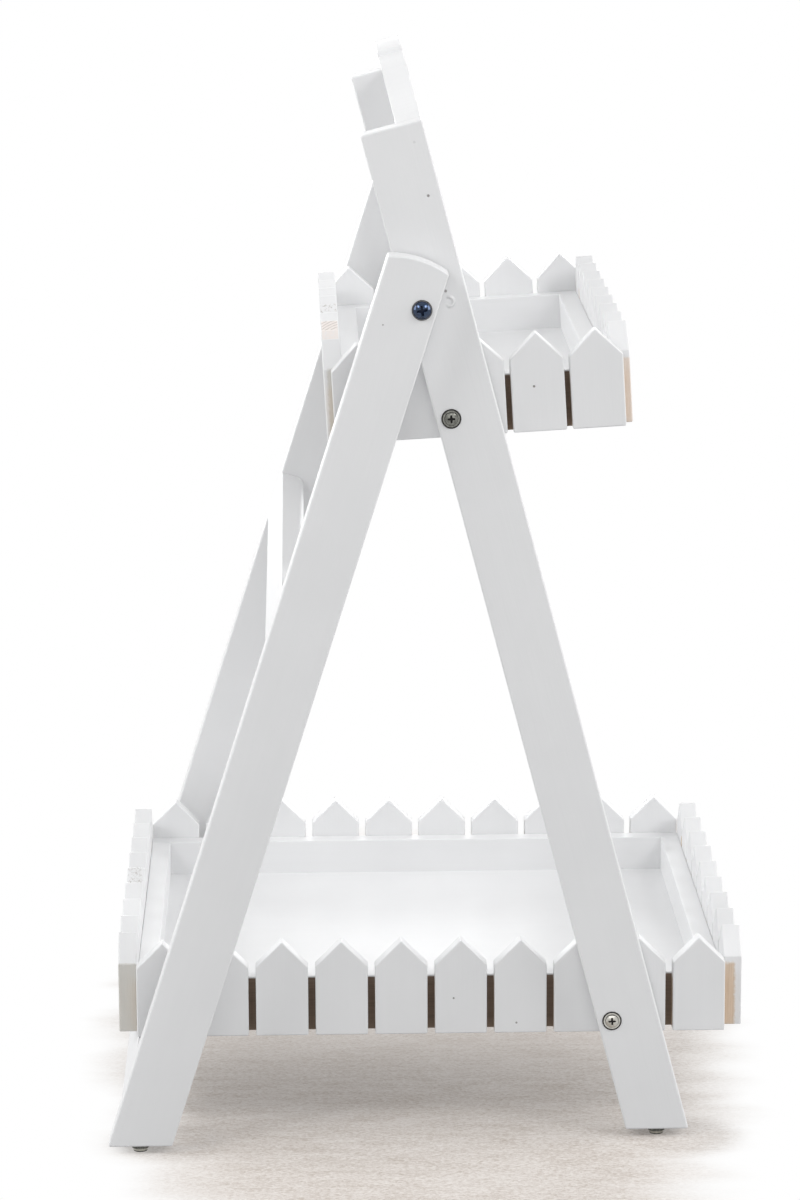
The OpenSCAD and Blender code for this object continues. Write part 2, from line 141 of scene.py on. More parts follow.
class Shader:
    """A node tree under construction, of a material or of a world."""

    def __init__(self, name: str, world: bpy.types.World | None = None) -> None:
        """Starts an empty tree, in a new material unless a world is given."""
        self.owner = world or bpy.data.materials.new(name)
        self.owner.use_nodes = True
        self.tree = self.owner.node_tree
        self.tree.nodes.clear()

    def node(
        self,
        kind: str,
        settings: dict[str, Any] | None = None,
        inputs: dict[Any, Any] | None = None,
        output: int | str = 0,
    ) -> Socket:
        """Adds a node.

        Args:
            kind: The node's type name.
            settings: Properties, which are set before the sockets.
            inputs: Values or sockets by input name or index.
            output: Which output is returned.

        Returns:
            The chosen output.
        """
        made = self.tree.nodes.new(kind)
        for key, value in (settings or {}).items():
            setattr(made, key, value)
        for key, value in (inputs or {}).items():
            if isinstance(value, Socket):
                self.tree.links.new(value.socket, made.inputs[key])
            else:
                made.inputs[key].default_value = value
        return Socket(self, made.outputs[output] if len(made.outputs) else None)

    def attribute(self, name: str, output: str = "Fac") -> Socket:
        """Reads a mesh attribute."""
        return self.node("ShaderNodeAttribute", {"attribute_name": name}, None, output)

    def here(self) -> Socket:
        """Object coordinates."""
        return self.node("ShaderNodeTexCoord", None, None, "Object")

    def axis(self, at: Socket, index: int) -> Socket:
        """One of a vector's three numbers."""
        return self.node("ShaderNodeSeparateXYZ", None, {0: at}, index)

    def vector(self, operation: str, *values: Any) -> Socket:
        """Adds a Vector Math node and returns its vector."""
        return self.node("ShaderNodeVectorMath", {"operation": operation}, dict(enumerate(values)))

    def distance(self, at: Socket, place: Sequence[float]) -> Socket:
        """Distance from a fixed place."""
        return self.node(
            "ShaderNodeVectorMath", {"operation": "DISTANCE"}, {0: at, 1: tuple(place)}, "Value"
        )

    def noise(
        self, at: Socket, scale: float, detail: float, rough: float, twist: float = 0.0
    ) -> Socket:
        """Adds a Noise texture and returns its value."""
        return self.node(
            "ShaderNodeTexNoise",
            None,
            {"Vector": at, "Scale": scale, "Detail": detail, "Roughness": rough, "Distortion": twist},
        )

    def stretch(self, at: Socket, scale: Sequence[float]) -> Socket:
        """Scales a vector by three numbers."""
        return self.vector("MULTIPLY", at, tuple(scale))

    def blend(self, factor: Any, first: Any, second: Any) -> Socket:
        """Mixes two colours.

        Args:
            factor: 0 gives the first colour and 1 the second.
            first: A colour or a colour socket.
            second: A colour or a colour socket.

        Returns:
            The mixed colour.
        """
        made = self.tree.nodes.new("ShaderNodeMix")
        made.data_type = "RGBA"
        for index, value in ((0, factor), (6, first), (7, second)):
            if isinstance(value, Socket):
                self.tree.links.new(value.socket, made.inputs[index])
            elif index:
                made.inputs[index].default_value = (*value, 1.0)
            else:
                made.inputs[index].default_value = value
        return Socket(self, made.outputs[2])

    def bump(self, height: Socket, depth: float, strength: float) -> Socket:
        """Adds a Bump node for a height that varies by about one, in depths of so many metres."""
        return self.node(
            "ShaderNodeBump", None, {"Height": height, "Distance": depth, "Strength": strength}
        )

    def surface(self, **inputs: Any) -> bpy.types.Material:
        """Adds the closing Principled shader.

        Args:
            inputs: Its sockets by name, with underscores for spaces.

        Returns:
            The finished material.
        """
        values = {key.replace("_", " "): value for key, value in inputs.items()}
        values = {k: (*v, 1.0) if isinstance(v, tuple) and len(v) == 3 else v for k, v in values.items()}
        shader = self.node("ShaderNodeBsdfPrincipled", None, values)
        self.node("ShaderNodeOutputMaterial", None, {"Surface": shader})
        return self.owner


# Finishes


class Bare(Enum):
    """Where a painted board shows its wood."""

    NOWHERE = "nowhere"
    SAWN_EDGES = "sawn edges"
    OUTER_FACE = "outer face"


@dataclass(frozen=True)
class Wear:
    """How far the paint of one board reaches, as shares unless named otherwise.

    Attributes:
        bare: Share of the sawn edges' depth without paint, from the inner face.
        bare_top: Height up to which the sawn edges are bare, in metres.
        veil: How much thin paint lies on the bare wood.
        grime: How much grey is mixed into the bare wood.
        roof_rough: How torn the grain is on the sloping top.
        roof_bare: How thin the paint is on the sloping top.
        roof_rings: Darkness of the growth rings on the sloping top.
    """

    bare: float = 0.0
    bare_top: float = 34.0 * MM
    veil: float = 0.1
    grime: float = 0.0
    roof_rough: float = 0.0
    roof_bare: float = 0.0
    roof_rings: float = 0.0


WEAR_NAMES = tuple(Wear.__dataclass_fields__)


@dataclass(frozen=True)
class Mark:
    """A sunken nail mark, painted dark as the shade in it: its place, how dark it is and its radius."""

    place: tuple[float, float, float]
    dark: float
    radius: float = 0.9 * MM


@dataclass(frozen=True)
class PaintedPine:
    """Satin white paint over planed pine, with bare wood where the sprayer didn't reach.

    Attributes:
        name: The material's name.
        bare: Where the wood shows.
        half_width: Half a picket's width.
        thick: Thickness of a picket or a box rail.
        shoulder: Height at which a picket's sloping top starts.
        marks: Nail marks, at places of the whole stand.
        runs: Middles of the curled paint runs, at places of the whole stand.
        run_radius: Radius of a paint run's ring.
        pith: The growth rings' middle, across, through and along a picket from its foot.
        ring_turns: Radians per metre of the growth rings, which makes one ring every 1.7 mm.
        relief: Depth of the paint's relief.
    """

    name: str
    bare: Bare = Bare.NOWHERE
    half_width: float = 0.0
    thick: float = 0.0
    shoulder: float = 0.0
    marks: tuple[Mark, ...] = ()
    runs: tuple[tuple[float, float, float], ...] = ()
    run_radius: float = 2.8 * MM
    pith: tuple[float, float, float] = (14.0 * MM, -9.0 * MM, 30.0 * MM)
    ring_turns: float = 3700.0
    relief: float = 0.22 * MM
    paint: Colour = (0.797, 0.80, 0.806)
    shade: Colour = (0.762, 0.765, 0.772)
    pale_wood: Colour = (0.72, 0.58, 0.45)
    dark_wood: Colour = (0.58, 0.44, 0.31)
    # Grey of the rubbed rims and of the grey mixed into bare wood.
    dust: Colour = (0.60, 0.60, 0.57)
    thin_paint: Colour = (0.80, 0.74, 0.705)
    torn_grain: Colour = (0.42, 0.38, 0.35)
    # Colour of the painted highlight on a paint run.
    run_paint: Colour = (0.86, 0.86, 0.865)
    # Colour of the painted shade in nail holes.
    hole: Colour = (0.13, 0.11, 0.10)

    def _sawn(self, sh: Shader, local: Socket, ragged: Socket) -> Socket:
        """Where a picket's sawn edges are bare.

        Args:
            sh: The material.
            local: The board's own place: across, through and along.
            ragged: A noise that roughens the border.

        Returns:
            A mask from 0 to 1.
        """
        across, through, along = (sh.axis(local, index) for index in range(3))
        side = abs(across).above(self.half_width - 0.9 * MM, self.half_width - 0.6 * MM)
        reach = sh.attribute("bare") * self.thick - through + (ragged - 0.5) * (3.0 * MM)
        low = sh.attribute("bare_top") - along + (ragged - 0.5) * (4.0 * MM)
        return side * reach.above(0.0, 2.2 * MM) * low.above(-1.0 * MM, 2.0 * MM)

    def _roof(self, sh: Shader, local: Socket) -> Socket:
        """Where a picket's sloping top is, between its two faces."""
        through, along = sh.axis(local, 1), sh.axis(local, 2)
        inside = through.above(0.5 * MM, 0.9 * MM) * through.above(
            self.thick - 0.5 * MM, self.thick - 0.9 * MM
        )
        return inside * along.above(self.shoulder - 0.2 * MM, self.shoulder + 0.6 * MM)

    def _ring_lines(self, sh: Shader, reach: Socket) -> Socket:
        """Thin dark lines at equal steps of a distance."""
        turn = sh.node("ShaderNodeMath", {"operation": "SINE"}, {0: reach * self.ring_turns})
        return turn.above(0.35, 0.95)

    def _nail_mark(self, sh: Shader, here: Socket, mark: Mark) -> Socket:
        """A dark spot, painted shade of the sunken mark, that fades out at the mark's radius."""
        return sh.distance(here, mark.place).above(mark.radius * 1.2, mark.radius * 0.6) * mark.dark

    def _paint_run(self, sh: Shader, here: Socket, place: tuple[float, float, float]) -> Socket:
        """A curled ridge of dried paint: a ring whose rear side fades out. Its lighter colour is a
        painted highlight on the lit front side.
        """
        ring = abs(sh.distance(here, place) - self.run_radius).above(1.5 * MM, 0.0)
        return ring * sh.axis(here, 1).above(place[1] + 2.0 * MM, place[1] - 1.0 * MM)

    def build(self) -> bpy.types.Material:
        """Makes the material.

        Returns:
            The material.
        """
        sh = Shader(self.name)
        local = sh.attribute("local", "Vector")
        seed = sh.attribute("seed")
        shift = sh.node("ShaderNodeCombineXYZ", None, {0: seed * 3.7, 1: seed * 1.9, 2: seed * 5.3})
        place = sh.vector("ADD", local, shift)
        ragged = sh.noise(place, 420.0, 4.0, 0.65)
        fine = sh.noise(sh.stretch(place, (1.0, 1.0, 0.05)), 1500.0, 3.0, 0.6)
        band = sh.noise(sh.stretch(place, (1.0, 1.0, 0.045)), 210.0, 3.0, 0.6, 0.6)
        cloud = sh.noise(place, 22.0, 2.0, 0.5)
        peel = sh.noise(place, 900.0, 2.0, 0.5)
        soft = (cloud * 0.7 + band * 0.3).above(0.32, 0.72)
        tone = seed.above(-0.4, 1.4) * 0.5
        colour = sh.blend(soft * 0.6 + tone * 0.4, self.shade, self.paint)
        height = band * 0.55 + fine * 0.22 + peel * 0.16 + ragged * 0.10
        rough = 0.44 + (cloud - 0.5) * 0.16 + (fine - 0.5) * 0.10
        thin = (sh.attribute("rim") + (ragged - 0.5) * 1.3 + (cloud - 0.5) * 1.6).above(1.05, 1.35)
        colour = sh.blend(thin * 0.2, colour, self.dust)
        if self.bare is not Bare.NOWHERE:
            rings = sh.noise(sh.stretch(place, (1.0, 1.0, 0.03)), 330.0, 3.0, 0.55, 1.2)
            wood = sh.blend((rings * 0.65 + fine * 0.45).above(0.3, 0.8), self.pale_wood, self.dark_wood)
            if self.bare is Bare.OUTER_FACE:
                # On the boxes this bare outer face takes wood colours darkened as painted shade for the
                # deep gaps between the pickets.
                outer = sh.axis(local, 1) + (ragged - 0.5) * (0.4 * MM)
                below = (sh.attribute("bare_top") - sh.axis(local, 0)).above(0.0, 0.6 * MM)
                bare = outer.above(self.thick - 0.6 * MM, self.thick - 0.3 * MM) * below
            else:
                roof = self._roof(sh, local)
                torn = roof * sh.attribute("roof_rough") * (ragged * 0.6 + peel * 0.5).above(0.54, 0.68)
                worn = roof * sh.attribute("roof_bare") * (cloud * 0.5 + ragged * 0.5).above(0.25, 0.5)
                ring = sh.distance(local, self.pith) + ragged * (0.9 * MM)
                ring = self._ring_lines(sh, ring) * roof * sh.attribute("roof_rings")
                colour = sh.blend(worn, colour, self.thin_paint)
                colour = sh.blend(torn.largest(ring) * 0.7, colour, self.torn_grain)
                height = height - torn * 1.4
                bare = self._sawn(sh, local, ragged)
                wood = sh.blend(sh.attribute("veil") * (0.7 + ragged * 0.6), wood, self.thin_paint)
                # Grey mixed into the bare wood, strong on the back rows' sawn ends.
                wood = sh.blend(sh.attribute("grime") * (0.75 + band * 0.5), wood, self.dust)
            colour = sh.blend(bare, colour, wood)
            height = height + bare * (fine * 1.2 - 0.9)
            rough = rough + bare * 0.3
        # Nail marks: dents painted dark for the shade in their holes.
        if self.marks:
            here = sh.here()
            spots = reduce(Socket.largest, (self._nail_mark(sh, here, mark) for mark in self.marks))
            colour = sh.blend(spots, colour, self.hole)
            height = height - spots * 3.0
        if self.runs:
            here = sh.here()
            ridge = reduce(Socket.largest, (self._paint_run(sh, here, place) for place in self.runs))
            # The run's ridge is lightened as a painted highlight on its front side.
            colour = sh.blend(ridge, colour, self.run_paint)
            height = height + ridge * 9.0
            rough = rough - ridge * 0.2
        normal = sh.bump(height, self.relief, 0.55)
        return sh.surface(Base_Color=colour, Roughness=rough, Normal=normal, IOR=1.48)


@dataclass(frozen=True)
class Metal:
    """A plated or blued metal with fine scratches and uneven worn patches, and with painted shade where
    the mesh asks for it: a dark, rough non-metal that stands for the shade in recesses, under heads and
    round edges.
    """

    name: str
    base: Colour
    worn: Colour
    rough: float
    coat: float = 0.0
    # Colour of the painted shade in recesses, under heads and round edges.
    dirt: Colour = (0.018, 0.017, 0.016)

    def build(self) -> bpy.types.Material:
        """Makes the material.

        Returns:
            The material.
        """
        sh = Shader(self.name)
        here = sh.here()
        blot = sh.noise(here, 650.0, 3.0, 0.6)
        scratch = sh.noise(sh.stretch(here, (0.3, 1.0, 0.12)), 5200.0, 2.0, 0.6)
        colour = sh.blend((blot * 0.8 + scratch * 0.3).above(0.35, 0.75), self.base, self.worn)
        # Painted shade from the mesh: it darkens the colour, takes away the metal and the coat, and
        # roughens.
        dirt = (sh.attribute("dirt") + (blot - 0.5) * 0.25).above(0.15, 0.8)
        rough = self.rough + (blot - 0.5) * 0.14 + (scratch - 0.5) * 0.06 + dirt * 0.4
        return sh.surface(
            Base_Color=sh.blend(dirt, colour, self.dirt),
            Metallic=1.0 - dirt,
            Specular_IOR_Level=0.2,
            Roughness=rough,
            Coat_Weight=self.coat * (1.0 - dirt) if self.coat else 0.0,
            Coat_Roughness=0.06,
            Normal=sh.bump(blot * 0.6 + scratch * 0.4, 0.03 * MM, 0.4),
        )


@dataclass(frozen=True)
class Plastic:
    """A moulded plastic with a faint pebble and dusty patches."""

    name: str
    base: Colour
    dusty: Colour
    rough: float

    def build(self) -> bpy.types.Material:
        """Makes the material.

        Returns:
            The material.
        """
        sh = Shader(self.name)
        here = sh.here()
        pebble = sh.noise(here, 2600.0, 2.0, 0.5)
        dust = sh.noise(here, 260.0, 3.0, 0.6)
        colour = sh.blend(dust.above(0.42, 0.68), self.base, self.dusty)
        return sh.surface(
            Base_Color=colour,
            Roughness=self.rough + (dust - 0.5) * 0.2,
            Normal=sh.bump(pebble, 0.03 * MM, 0.6),
        )


@dataclass(frozen=True)
class RawWood:
    """Bare turned wood, for the dowels inside the joints."""

    name: str
    pale: Colour = (0.66, 0.50, 0.34)
    dark: Colour = (0.46, 0.31, 0.18)

    def build(self) -> bpy.types.Material:
        """Makes the material.

        Returns:
            The material.
        """
        sh = Shader(self.name)
        line = sh.noise(sh.stretch(sh.here(), (0.05, 1.0, 1.0)), 1400.0, 3.0, 0.6)
        return sh.surface(
            Base_Color=sh.blend(line, self.pale, self.dark),
            Roughness=0.6 + (line - 0.5) * 0.2,
            Normal=sh.bump(line, 0.1 * MM, 0.5),
        )


# Shapes


class Grain(Enum):
    """Which of a board's own axes its grain follows."""

    ALONG_U = (1, 2, 0)
    ALONG_V = (0, 2, 1)
    ALONG_W = (1, 0, 2)


@dataclass(frozen=True)
class Shell:
    """A worked-out surface: points, faces, point attributes and, where they are set, normals."""

    points: Array
    faces: list[list[int]]
    attributes: dict[str, Array]
    normals: Array | None = None


def placing(origin: Sequence[float], u: Sequence[float], v: Sequence[float]) -> Array:
    """Builds a placing from an origin and the directions of the first two axes.

    Args:
        origin: Where the shape's origin lies, in metres.
        u: Direction of the first axis, of unit length.
        v: Direction of the second axis, of unit length.

    Returns:
        A 4 x 4 matrix whose third axis is square to both.
    """
    made = np.eye(4)
    made[:3, 0] = u
    made[:3, 1] = v
    made[:3, 2] = np.cross(u, v)
    made[:3, 3] = origin
    return made


def filleted(corners: Array, radii: Array, inset: Array, steps: int) -> tuple[Array, Array]:
    """Rounds an outline's corners and sets the outline in by several distances at once.

    Each corner becomes an arc that touches both edges. Its centre stays put as the outline is set
    in, so the arc's radius shrinks by the inset at an outer corner and grows by it at an inner one.

    Args:
        corners: The n corners, anticlockwise, as n x 2.
        radii: The radius of each corner.
        inset: The k distances by which the outline is set in.
        steps: Points on each corner's arc.

    Returns:
        The points as k x (n * steps) x 2, and their outward normals as (n * steps) x 2.
    """
    before = corners - np.roll(corners, 1, axis=0)
    before /= np.linalg.norm(before, axis=1, keepdims=True)
    after = np.roll(before, -1, axis=0)
    turn = np.arctan2(
        before[:, 0] * after[:, 1] - before[:, 1] * after[:, 0], (before * after).sum(axis=1)
    )
    side = np.where(turn >= 0.0, 1.0, -1.0)
    inward = np.column_stack([-before[:, 1], before[:, 0]])
    start = corners - before * (radii * np.tan(np.abs(turn) / 2.0))[:, None]
    centre = start + inward * (side * radii)[:, None]
    angle = turn[:, None] * np.linspace(0.0, 1.0, steps)[None, :]
    out = -inward
    normal = np.stack(
        [
            out[:, None, 0] * np.cos(angle) - out[:, None, 1] * np.sin(angle),
            out[:, None, 0] * np.sin(angle) + out[:, None, 1] * np.cos(angle),
        ],
        axis=2,
    )
    reach = side[None, :] * radii[None, :] - inset[:, None]
    points = centre[None, :, None, :] + normal[None] * reach[:, :, None, None]
    return points.reshape(len(inset), -1, 2), normal.reshape(-1, 2)


def with_third(flat: Array, third: Array) -> Array:
    """Gives the points of rings, as rows x points x 2, a third coordinate, one number a ring."""
    return np.concatenate([flat, np.broadcast_to(third[:, None, None], (*flat.shape[:2], 1))], axis=2)


@dataclass(frozen=True)
class Board:
    """One board: a rounded outline carried through its thickness, with rounded rims."""

    corners: tuple[tuple[float, float], ...]
    thick: float
    place: Array
    grain: Grain
    corner_radius: float | tuple[float, ...]
    rim_radius: float
    seed: float
    wear: Wear = Wear()
    arc_steps: int = 4
    rim_steps: int = 4

    def shell(self) -> Shell:
        """Works out the board's surface.

        At rim angle a, which runs from 0 on a flat face to a quarter turn on the side, a ring is
        set in by rim * (1 - sin a) and lies rim * (1 - cos a) below the face. Its normal is the
        face's direction times cos a plus the outline's normal times sin a.

        Returns:
            The surface, with the board's own coordinates, its seed and its wear.
        """
        corners = np.array(self.corners, float)
        radii = np.broadcast_to(np.array(self.corner_radius, float), (len(corners),))
        a = np.linspace(0.0, np.pi / 2.0, self.rim_steps)
        inset = self.rim_radius * (1.0 - np.sin(a))
        depth = self.rim_radius * (1.0 - np.cos(a))
        flat, normal = filleted(corners, radii, inset, self.arc_steps)
        rings = np.concatenate([flat, flat[::-1]])
        level = np.concatenate([depth, self.thick - depth[::-1]])
        slope = np.concatenate([np.sin(a), np.sin(a[::-1])])
        lift = np.concatenate([-np.cos(a), np.cos(a[::-1])])
        own = with_third(rings, level).reshape(-1, 3)
        facing = with_third(normal[None] * slope[:, None, None], lift).reshape(-1, 3)
        turn = self.place[:3, :3]
        index = np.arange(len(own)).reshape(rings.shape[:2])
        nxt = np.roll(index, -1, axis=1)
        quads = np.stack([index[:-1], nxt[:-1], nxt[1:], index[1:]], axis=2).reshape(-1, 4)
        attributes = {
            "local": own[:, list(self.grain.value)],
            "seed": np.full(len(own), self.seed),
            "rim": np.repeat(np.abs(2.0 * slope * lift), index.shape[1]),
        }
        attributes |= {name: np.full(len(own), getattr(self.wear, name)) for name in WEAR_NAMES}
        return Shell(
            own @ turn.T + self.place[:3, 3],
            [*quads.tolist(), index[0][::-1].tolist(), index[-1].tolist()],
            attributes,
            facing @ turn.T,
        )


@dataclass(frozen=True)
class CrossRecess:
    """A cross-shaped recess in the top of a head, with sloping walls."""

    arm: float
    slot: float
    depth: float
    wall: float
    turn: float

    def share(self, x: Array, y: Array) -> Array:
        """Works out how deep the recess is, as a share of its full depth.

        A place lies in an arm where it is under the arm's length from the middle and under its
        half width from the arm's line, and the arms narrow outwards. The depth rises smoothly
        over the width of the wall.

        Args:
            x: First coordinate, from the head's middle.
            y: Second coordinate.

        Returns:
            Shares from 0 to 1.
        """
        c, s = cos(self.turn), sin(self.turn)
        a, b = np.abs(x * c + y * s), np.abs(y * c - x * s)
        half = self.slot * (1.0 - 0.3 * np.maximum(a, b) / self.arm)
        outside = np.minimum(np.maximum(a - self.arm, b - half), np.maximum(b - self.arm, a - half))
        t = np.clip(-outside / self.wall, 0.0, 1.0)
        return t * t * (3.0 - 2.0 * t)


@dataclass(frozen=True)
class Turned:
    """One turned piece: a profile carried round its third axis.

    The profile's rows hold a radius, a height and how much painted shade the metal has there. A profile
    that starts and ends on the axis is closed by its poles, and any other is a loop round a bore.
    """

    profile: Array
    place: Array
    around: int
    recess: CrossRecess | None = None

    def shell(self) -> Shell:
        """Works out the surface: radius * (cos t, sin t) at the profile's height, round a turn t.

        Returns:
            The surface, with its painted shade.
        """
        t = np.linspace(0.0, 2.0 * np.pi, self.around, endpoint=False)
        poled = self.profile[0, 0] == 0.0
        rows = self.profile[1:-1] if poled else self.profile
        x = rows[:, :1] * np.cos(t)
        y = rows[:, :1] * np.sin(t)
        z = np.broadcast_to(rows[:, 1:2], x.shape).copy()
        dirt = np.broadcast_to(rows[:, 2:3], x.shape).copy()
        sunk = 0.0
        if self.recess:
            top = int(np.argmax(rows[:, 0])) + 1
            share = self.recess.share(x[:top], y[:top])
            z[:top] -= share * self.recess.depth
            # The cross recess is painted dark as its shade, as far as it sinks.
            dirt[:top] = np.maximum(dirt[:top], share)
            sunk = self.recess.depth
        own = np.stack([x, y, z], axis=2).reshape(-1, 3)
        dirt = dirt.ravel()
        index = np.arange(x.size).reshape(x.shape)
        if not poled:
            index = np.concatenate([index, index[:1]])
        nxt = np.roll(index, -1, axis=1)
        faces = np.stack([index[:-1], index[1:], nxt[1:], nxt[:-1]], axis=2).reshape(-1, 4).tolist()
        if poled:
            pole = np.full(self.around, len(own))
            faces += np.column_stack([pole, index[0], nxt[0]]).tolist()
            faces += np.column_stack([pole + 1, nxt[-1], index[-1]]).tolist()
            ends = [[0.0, 0.0, self.profile[0, 1] - sunk], [0.0, 0.0, self.profile[-1, 1]]]
            own = np.concatenate([own, ends])
            # The top pole lies deep in the recess, in full painted shade.
            dirt = np.append(dirt, [1.0 if sunk else self.profile[0, 2], self.profile[-1, 2]])
        return Shell(own @ self.place[:3, :3].T + self.place[:3, 3], faces, {"dirt": dirt})


def make_object(
    name: str,
    pieces: Sequence[Board | Turned],
    finish: bpy.types.Material,
    body: str,
    nodes: Sequence[str],
) -> None:
    """Joins pieces into one mesh object that stands for CAD nodes.

    Args:
        name: The object's name.
        pieces: The pieces.
        finish: Their material.
        body: The body that the object rides on.
        nodes: The CAD nodes that it stands for.
    """
    shells = [piece.shell() for piece in pieces]
    first = np.cumsum([0, *(len(shell.points) for shell in shells)])
    faces = [[i + base for i in face] for shell, base in zip(shells, first) for face in shell.faces]
    points = np.concatenate([shell.points for shell in shells])
    mesh = bpy.data.meshes.new(name)
    mesh.from_pydata(points.tolist(), [], faces)
    mesh.polygons.foreach_set("use_smooth", np.ones(len(mesh.polygons), bool))
    for key in shells[0].attributes:
        values = np.concatenate([shell.attributes[key] for shell in shells]).astype(np.float32)
        vector = values.ndim == 2
        layer = mesh.attributes.new(key, "FLOAT_VECTOR" if vector else "FLOAT", "POINT")
        layer.data.foreach_set("vector" if vector else "value", values.ravel())
    if shells[0].normals is not None:
        normals = np.concatenate([shell.normals for shell in shells])
        mesh.normals_split_custom_set_from_vertices(normals.tolist())
    mesh.materials.append(finish)
    made = in_scene(name, mesh)
    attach(made, body)
    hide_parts(*nodes)
    LOG.info("%s: %d pieces, %d faces", name, len(shells), len(faces))


# The stand


@dataclass(frozen=True)
class Frame:
    """Sizes of the legs and where the trays hang, in metres, and the places of the pivots.

    A lean is the angle by which the top of a leg lies behind its foot, so the rear legs' is
    negative.
    """

    pivot: tuple[float, float]
    upper_screw: tuple[float, float]
    lower_screw: tuple[float, float]
    leg_w: float = 38.0 * MM
    leg_t: float = 18.0 * MM
    front_lean: float = radians(14.6)
    leg_above: float = 107.5 * MM
    rear_above: float = 25.0 * MM
    rear_round: float = 3.2 * MM
    hole_edge: float = 9.0 * MM
    rear_hole_edge: float = 9.0 * MM
    leg_in: float = 177.5 * MM
    leg_gap: float = 2.6 * MM
    glide: float = 5.0 * MM
    rail_w: float = 33.0 * MM
    rail_t: float = 17.0 * MM
    rail_round: float = 5.0 * MM
    upper_rail_down: float = 192.0 * MM
    rail_inset: float = 0.7 * MM
    seat_gap: float = 0.3 * MM
    lower_screw_up: float = 13.2 * MM
    upper_screw_up: float = 14.6 * MM
    tray_back: float = 296.15 * MM
    edge_round: float = 1.2 * MM

    @property
    def leg_out(self) -> float:
        """Outer face of a front leg."""
        return self.leg_in + self.leg_t

    @property
    def rear_in(self) -> float:
        """Inner face of a rear leg."""
        return self.leg_out + self.leg_gap

    @property
    def rear_out(self) -> float:
        """Outer face of a rear leg."""
        return self.rear_in + self.leg_t

    @property
    def _seat(self) -> tuple[float, float]:
        """Place of the lower rail's top edge from the pivot."""
        y = self.lower_screw[0] + self.tray_back - self.rail_inset - self.pivot[0]
        z = self.lower_screw[1] - self.lower_screw_up - self.seat_gap - self.pivot[1]
        return y, z

    @property
    def rear_lean(self) -> float:
        """Lean of the rear legs, in radians, at which the lower rail meets its seat."""
        y, z = self._seat
        return asin((self.leg_w - self.rear_hole_edge) / hypot(y, z)) - atan2(y, -z)

    @property
    def lower_rail_down(self) -> float:
        """Distance of the lower rail's top from the pivot, down the rear leg."""
        y, z = self._seat
        return sqrt(y * y + z * z - (self.leg_w - self.rear_hole_edge) ** 2)

    @staticmethod
    def axes(lean: float) -> tuple[Array, Array]:
        """Directions across and up a leg."""
        return np.array([0.0, cos(lean), -sin(lean)]), np.array([0.0, sin(lean), cos(lean)])

    def foot(self, lean: float, across: float) -> float:
        """Place along a leg at which its foot is cut level, at a distance across it."""
        return (self.glide - self.pivot[1] + across * sin(lean)) / cos(lean)

    def foot_middle(self, lean: float, middle: float) -> float:
        """Place from front to back of a foot's middle, which lies so far across the leg."""
        across, up = self.axes(lean)
        return self.pivot[0] + middle * across[1] + self.foot(lean, middle) * up[1]

    def leg_pair(
        self,
        corners: tuple[tuple[float, float], ...],
        radii: float | tuple[float, ...],
        lean: float,
        faces: tuple[float, float],
        seeds: tuple[float, float],
    ) -> list[Board]:
        """Makes two legs of one outline.

        Args:
            corners: The outline, across and up the leg from the pivot.
            radii: Radius of its corners.
            lean: The legs' lean.
            faces: Where each leg's left face lies.
            seeds: Picks each leg's grain.

        Returns:
            The left and the right leg.
        """
        across, up = self.axes(lean)
        return [
            Board(
                corners,
                self.leg_t,
                placing((x, *self.pivot), across, up),
                Grain.ALONG_V,
                corner_radius=radii,
                rim_radius=self.edge_round,
                seed=seed,
            )
            for x, seed in zip(faces, seeds)
        ]


